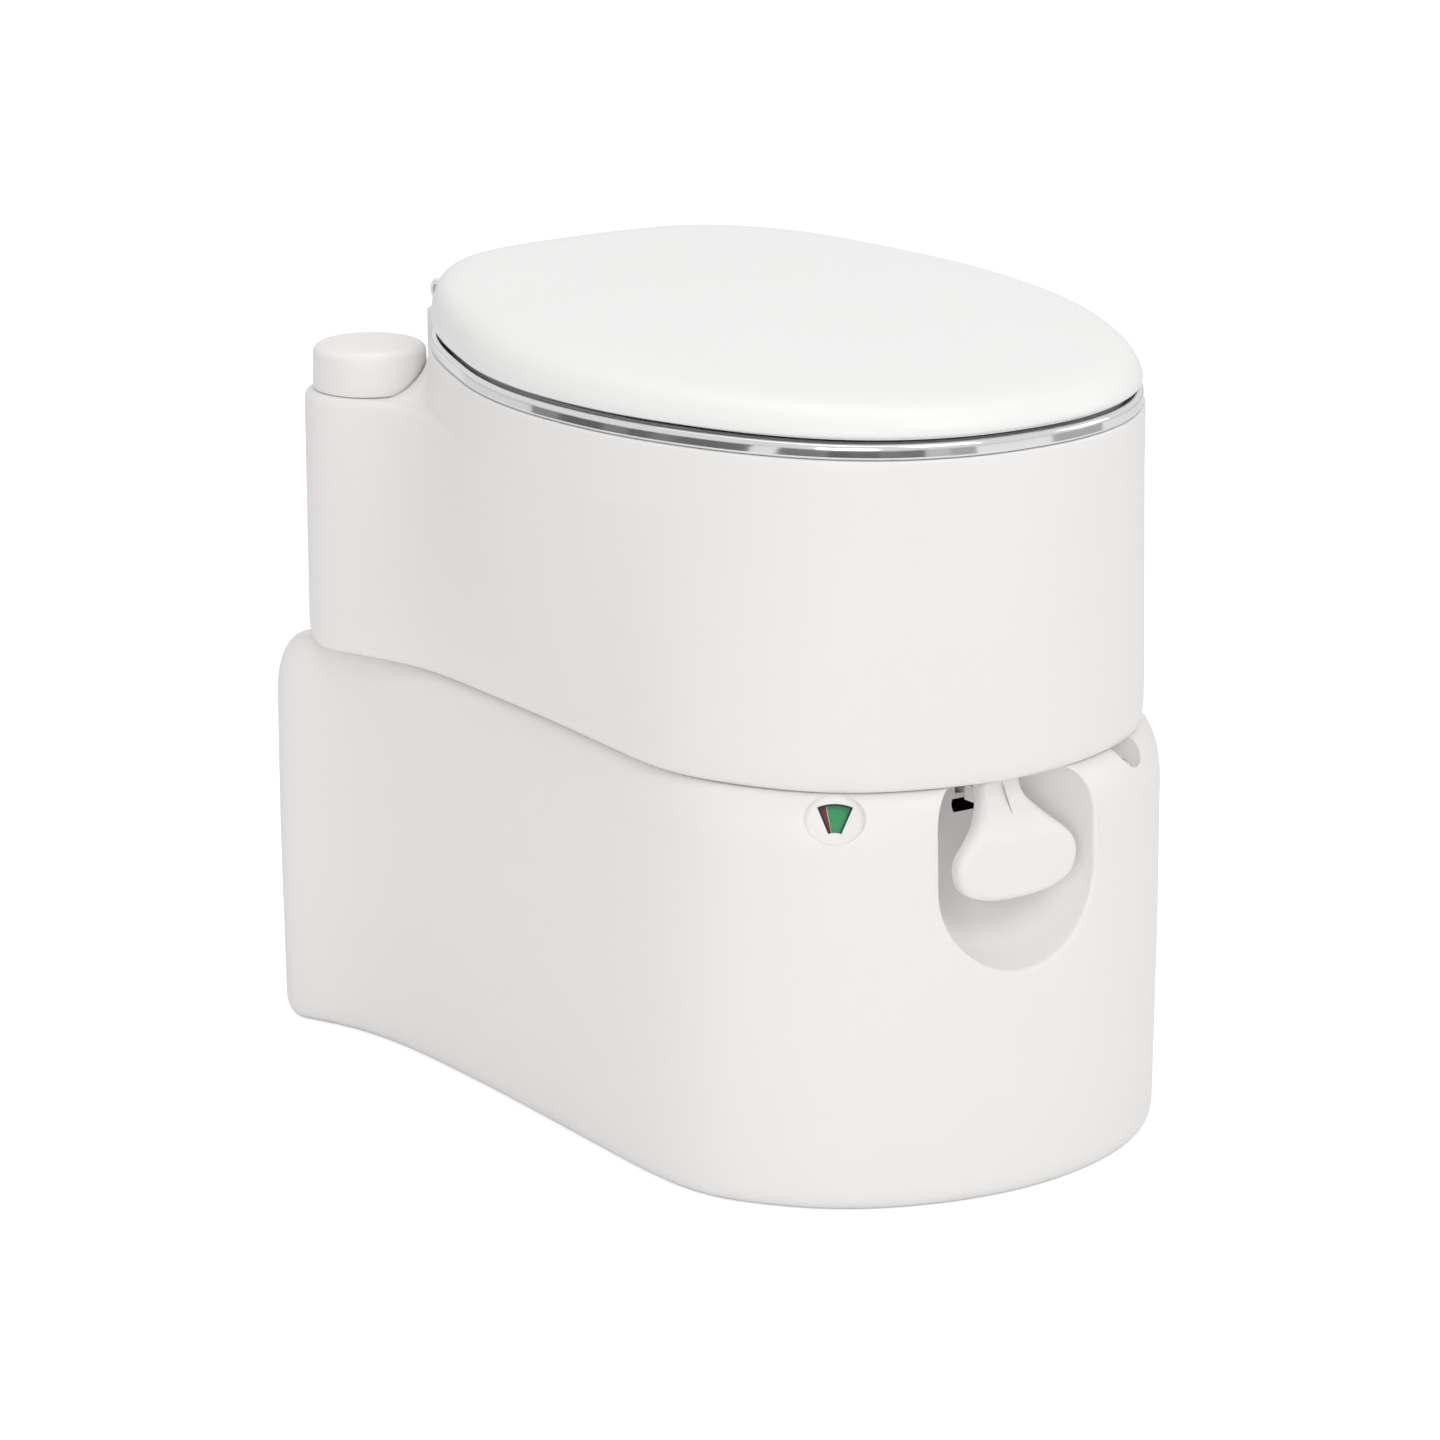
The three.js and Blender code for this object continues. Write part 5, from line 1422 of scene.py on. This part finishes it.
def dock_latch():
    low, high = latch_low, latch_high
    slab = block("dock_latch_slide", low, (high.x, high.y, low.z + 8.4), 1)
    riser = block("riser", (low.x, low.y + 6.5, low.z), high, 1)
    nose = block("nose", (low.x + nose_inset, low.y, high.z - nose_height),
                 (high.x - nose_inset, high.y, high.z), 1)
    return soften(weld(slab, riser, nose), 0.5, 2)


for node in [f"seat_bumper_{i}" for i in range(1, 5)] + ["lid_bumper_1", "lid_bumper_2"]:
    dress(bumper(node), node, dark_rubber_and_painted_shadow)
dress(dock_latch(), "dock_latch", grey_plastic)

# %% [markdown]
# ## Pieces that keep their CAD shape
#
# The rest of what lies inside the tanks has the right shape already, and only gets its finish.

# %% Finishes for the inner pieces
keep(grey_plastic, "float_spindle", "spindle_bush", "float_arm", "pump_cylinder", "pump_rod", "pump_piston",
     "pump_foot_valve", "rinse_nozzle", "rinse_hose")
keep(white_plastic, "float")
keep(dark_rubber_and_painted_shadow, "vent_plug", "spout_o_ring", "filler_cap_seal", "piston_seal")

# %% [markdown]
# ## Camera
#
# The photograph was taken with a long lens from the front left, a little above the object. The camera's
# place and lens come from fitting the outlines of both tanks. The object sits a little off the middle of
# the frame, which a small shift of the lens gives.

# %% The camera
camera_data = bpy.data.cameras.new("camera")
camera = bpy.data.objects.new("camera", camera_data)
bpy.context.scene.collection.objects.link(camera)
camera.location = (-1.5661, -2.2443, 0.9562)
target = Vector((0, -0.00745, 0.1995))
camera.rotation_euler = (target - camera.location).to_track_quat("-Z", "Y").to_euler()
camera_data.sensor_width = 36
camera_data.lens = 149.92
camera_data.shift_x = -0.0364
camera_data.shift_y = -0.0341
bpy.context.scene.camera = camera

# %% [markdown]
# ## Floor and light
#
# The photograph has no background at all, only white. A large pale floor and a white world give that. The
# light is soft and almost even: one lamp stands low at the left front, one high in front, a weaker one at
# the right and one above. The left side is the darkest all the same.

# %% Floor, world and lamps


def white_ground():
    surface = Surface("pale floor", Roughness=0.9, Base_Color=shade((0.93, 0.93, 0.93)),
                      Emission_Color=shade((1, 1, 1)))
    surface.set("Emission Strength", surface.node("LightPath", {}, {}, "Is Camera Ray") * 0.5)
    return surface.material


bpy.ops.object.select_all(action="DESELECT")
bpy.ops.mesh.primitive_plane_add(size=40, location=(0, 0, 0))
floor = bpy.context.object
floor.name = "floor"
floor.data.materials.append(white_ground())


def make_world(strength):
    world = bpy.data.worlds.new("white studio")
    bpy.context.scene.world = world
    sky = Shading(world, "World Output")
    plain, bright = [
        sky.node("Background", {}, {"Color": shade((1, 1, 1), grey), "Strength": power}, "Background")
        for grey, power in ((1, strength), (0.8, 1))
    ]
    rays = [sky.node("LightPath", {}, {}, f"Is {kind} Ray") for kind in ("Camera", "Glossy")]
    seen = sky.node("Math", {"operation": "MAXIMUM"}, dict(enumerate(rays)), "Value")
    sky.set("Surface", sky.node("MixShader", {}, {0: seen, 1: plain, 2: bright}, "Shader"))


def lamp(name, place, size, power):
    data = bpy.data.lights.new(name, "AREA")
    data.size = size
    data.energy = power
    lamp_object = bpy.data.objects.new(name, data)
    bpy.context.scene.collection.objects.link(lamp_object)
    lamp_object.location = place
    aim = Vector((0, 0, 0.2)) - Vector(place)
    lamp_object.rotation_euler = aim.to_track_quat("-Z", "Y").to_euler()


world_strength = 0.58
make_world(world_strength)
lamp("key from the left front", (-2.2, -2.3, 0.9), 1.4, 20)
lamp("high front", (0.2, -2.2, 2.6), 1.4, 14.5)
lamp("fill from the right", (2.7, -1.3, 1.4), 1.4, 9)
lamp("top", (0, 0.2, 2.6), 2.0, 16)

# %% Grey cards on the floor that only the chrome mirrors
card_near, card_far, card_rise = 1.0, 2.6, 0.002
card_bands = [
    (-137, -128, 0.3), (-128, -115, 0.12), (-115, -108, 0.24), (-108, -101, 0.13), (-101, -95, 0.22),
    (-95, -77, 0.14), (-69, -51, 0.16), (-51, -41, 0.05), (-41, -30, 0.08), (-30, -10, 0.15), (-10, 0, 0.55),
    (0, 11, 0.42), (40, 70, 0.45),
]


def grey_card(start, end, grey):
    turns = [math.radians(start + (end - start) * i / 8) for i in range(9)]
    corners = [(card_near, t) for t in turns] + [(card_far, t) for t in reversed(turns)]
    edge = [Vector((r * math.sin(t), -r * math.cos(t), card_rise)) / mm for r, t in corners]
    card = stack(f"card_{start + 180}", [edge, [p - Vector((0, 0, 1)) for p in edge]])
    finish = Surface("grey card", Roughness=0.9, Base_Color=shade((grey, grey, grey)))
    card.data.materials.append(finish.material)
    card.visible_camera = False
    card.visible_diffuse = False
    card.visible_shadow = False


for band in card_bands:
    grey_card(*band)

bpy.context.scene.view_settings.view_transform = "Standard"

# %% [markdown]
# ## Finish
#
# The print on the dial and the painted shadow on the window's rim are given last, once the dial's mesh is
# final.

# %% Print and painted shadow
print_and_shadow_faces(dial, (print_red, print_pale), dial_print)
# The window's rim takes the dark finish as painted shadow that the pocket's wall casts on the dial.
print_and_shadow_faces(lens, (dark_rubber_and_painted_shadow,), lens_shadow_border)
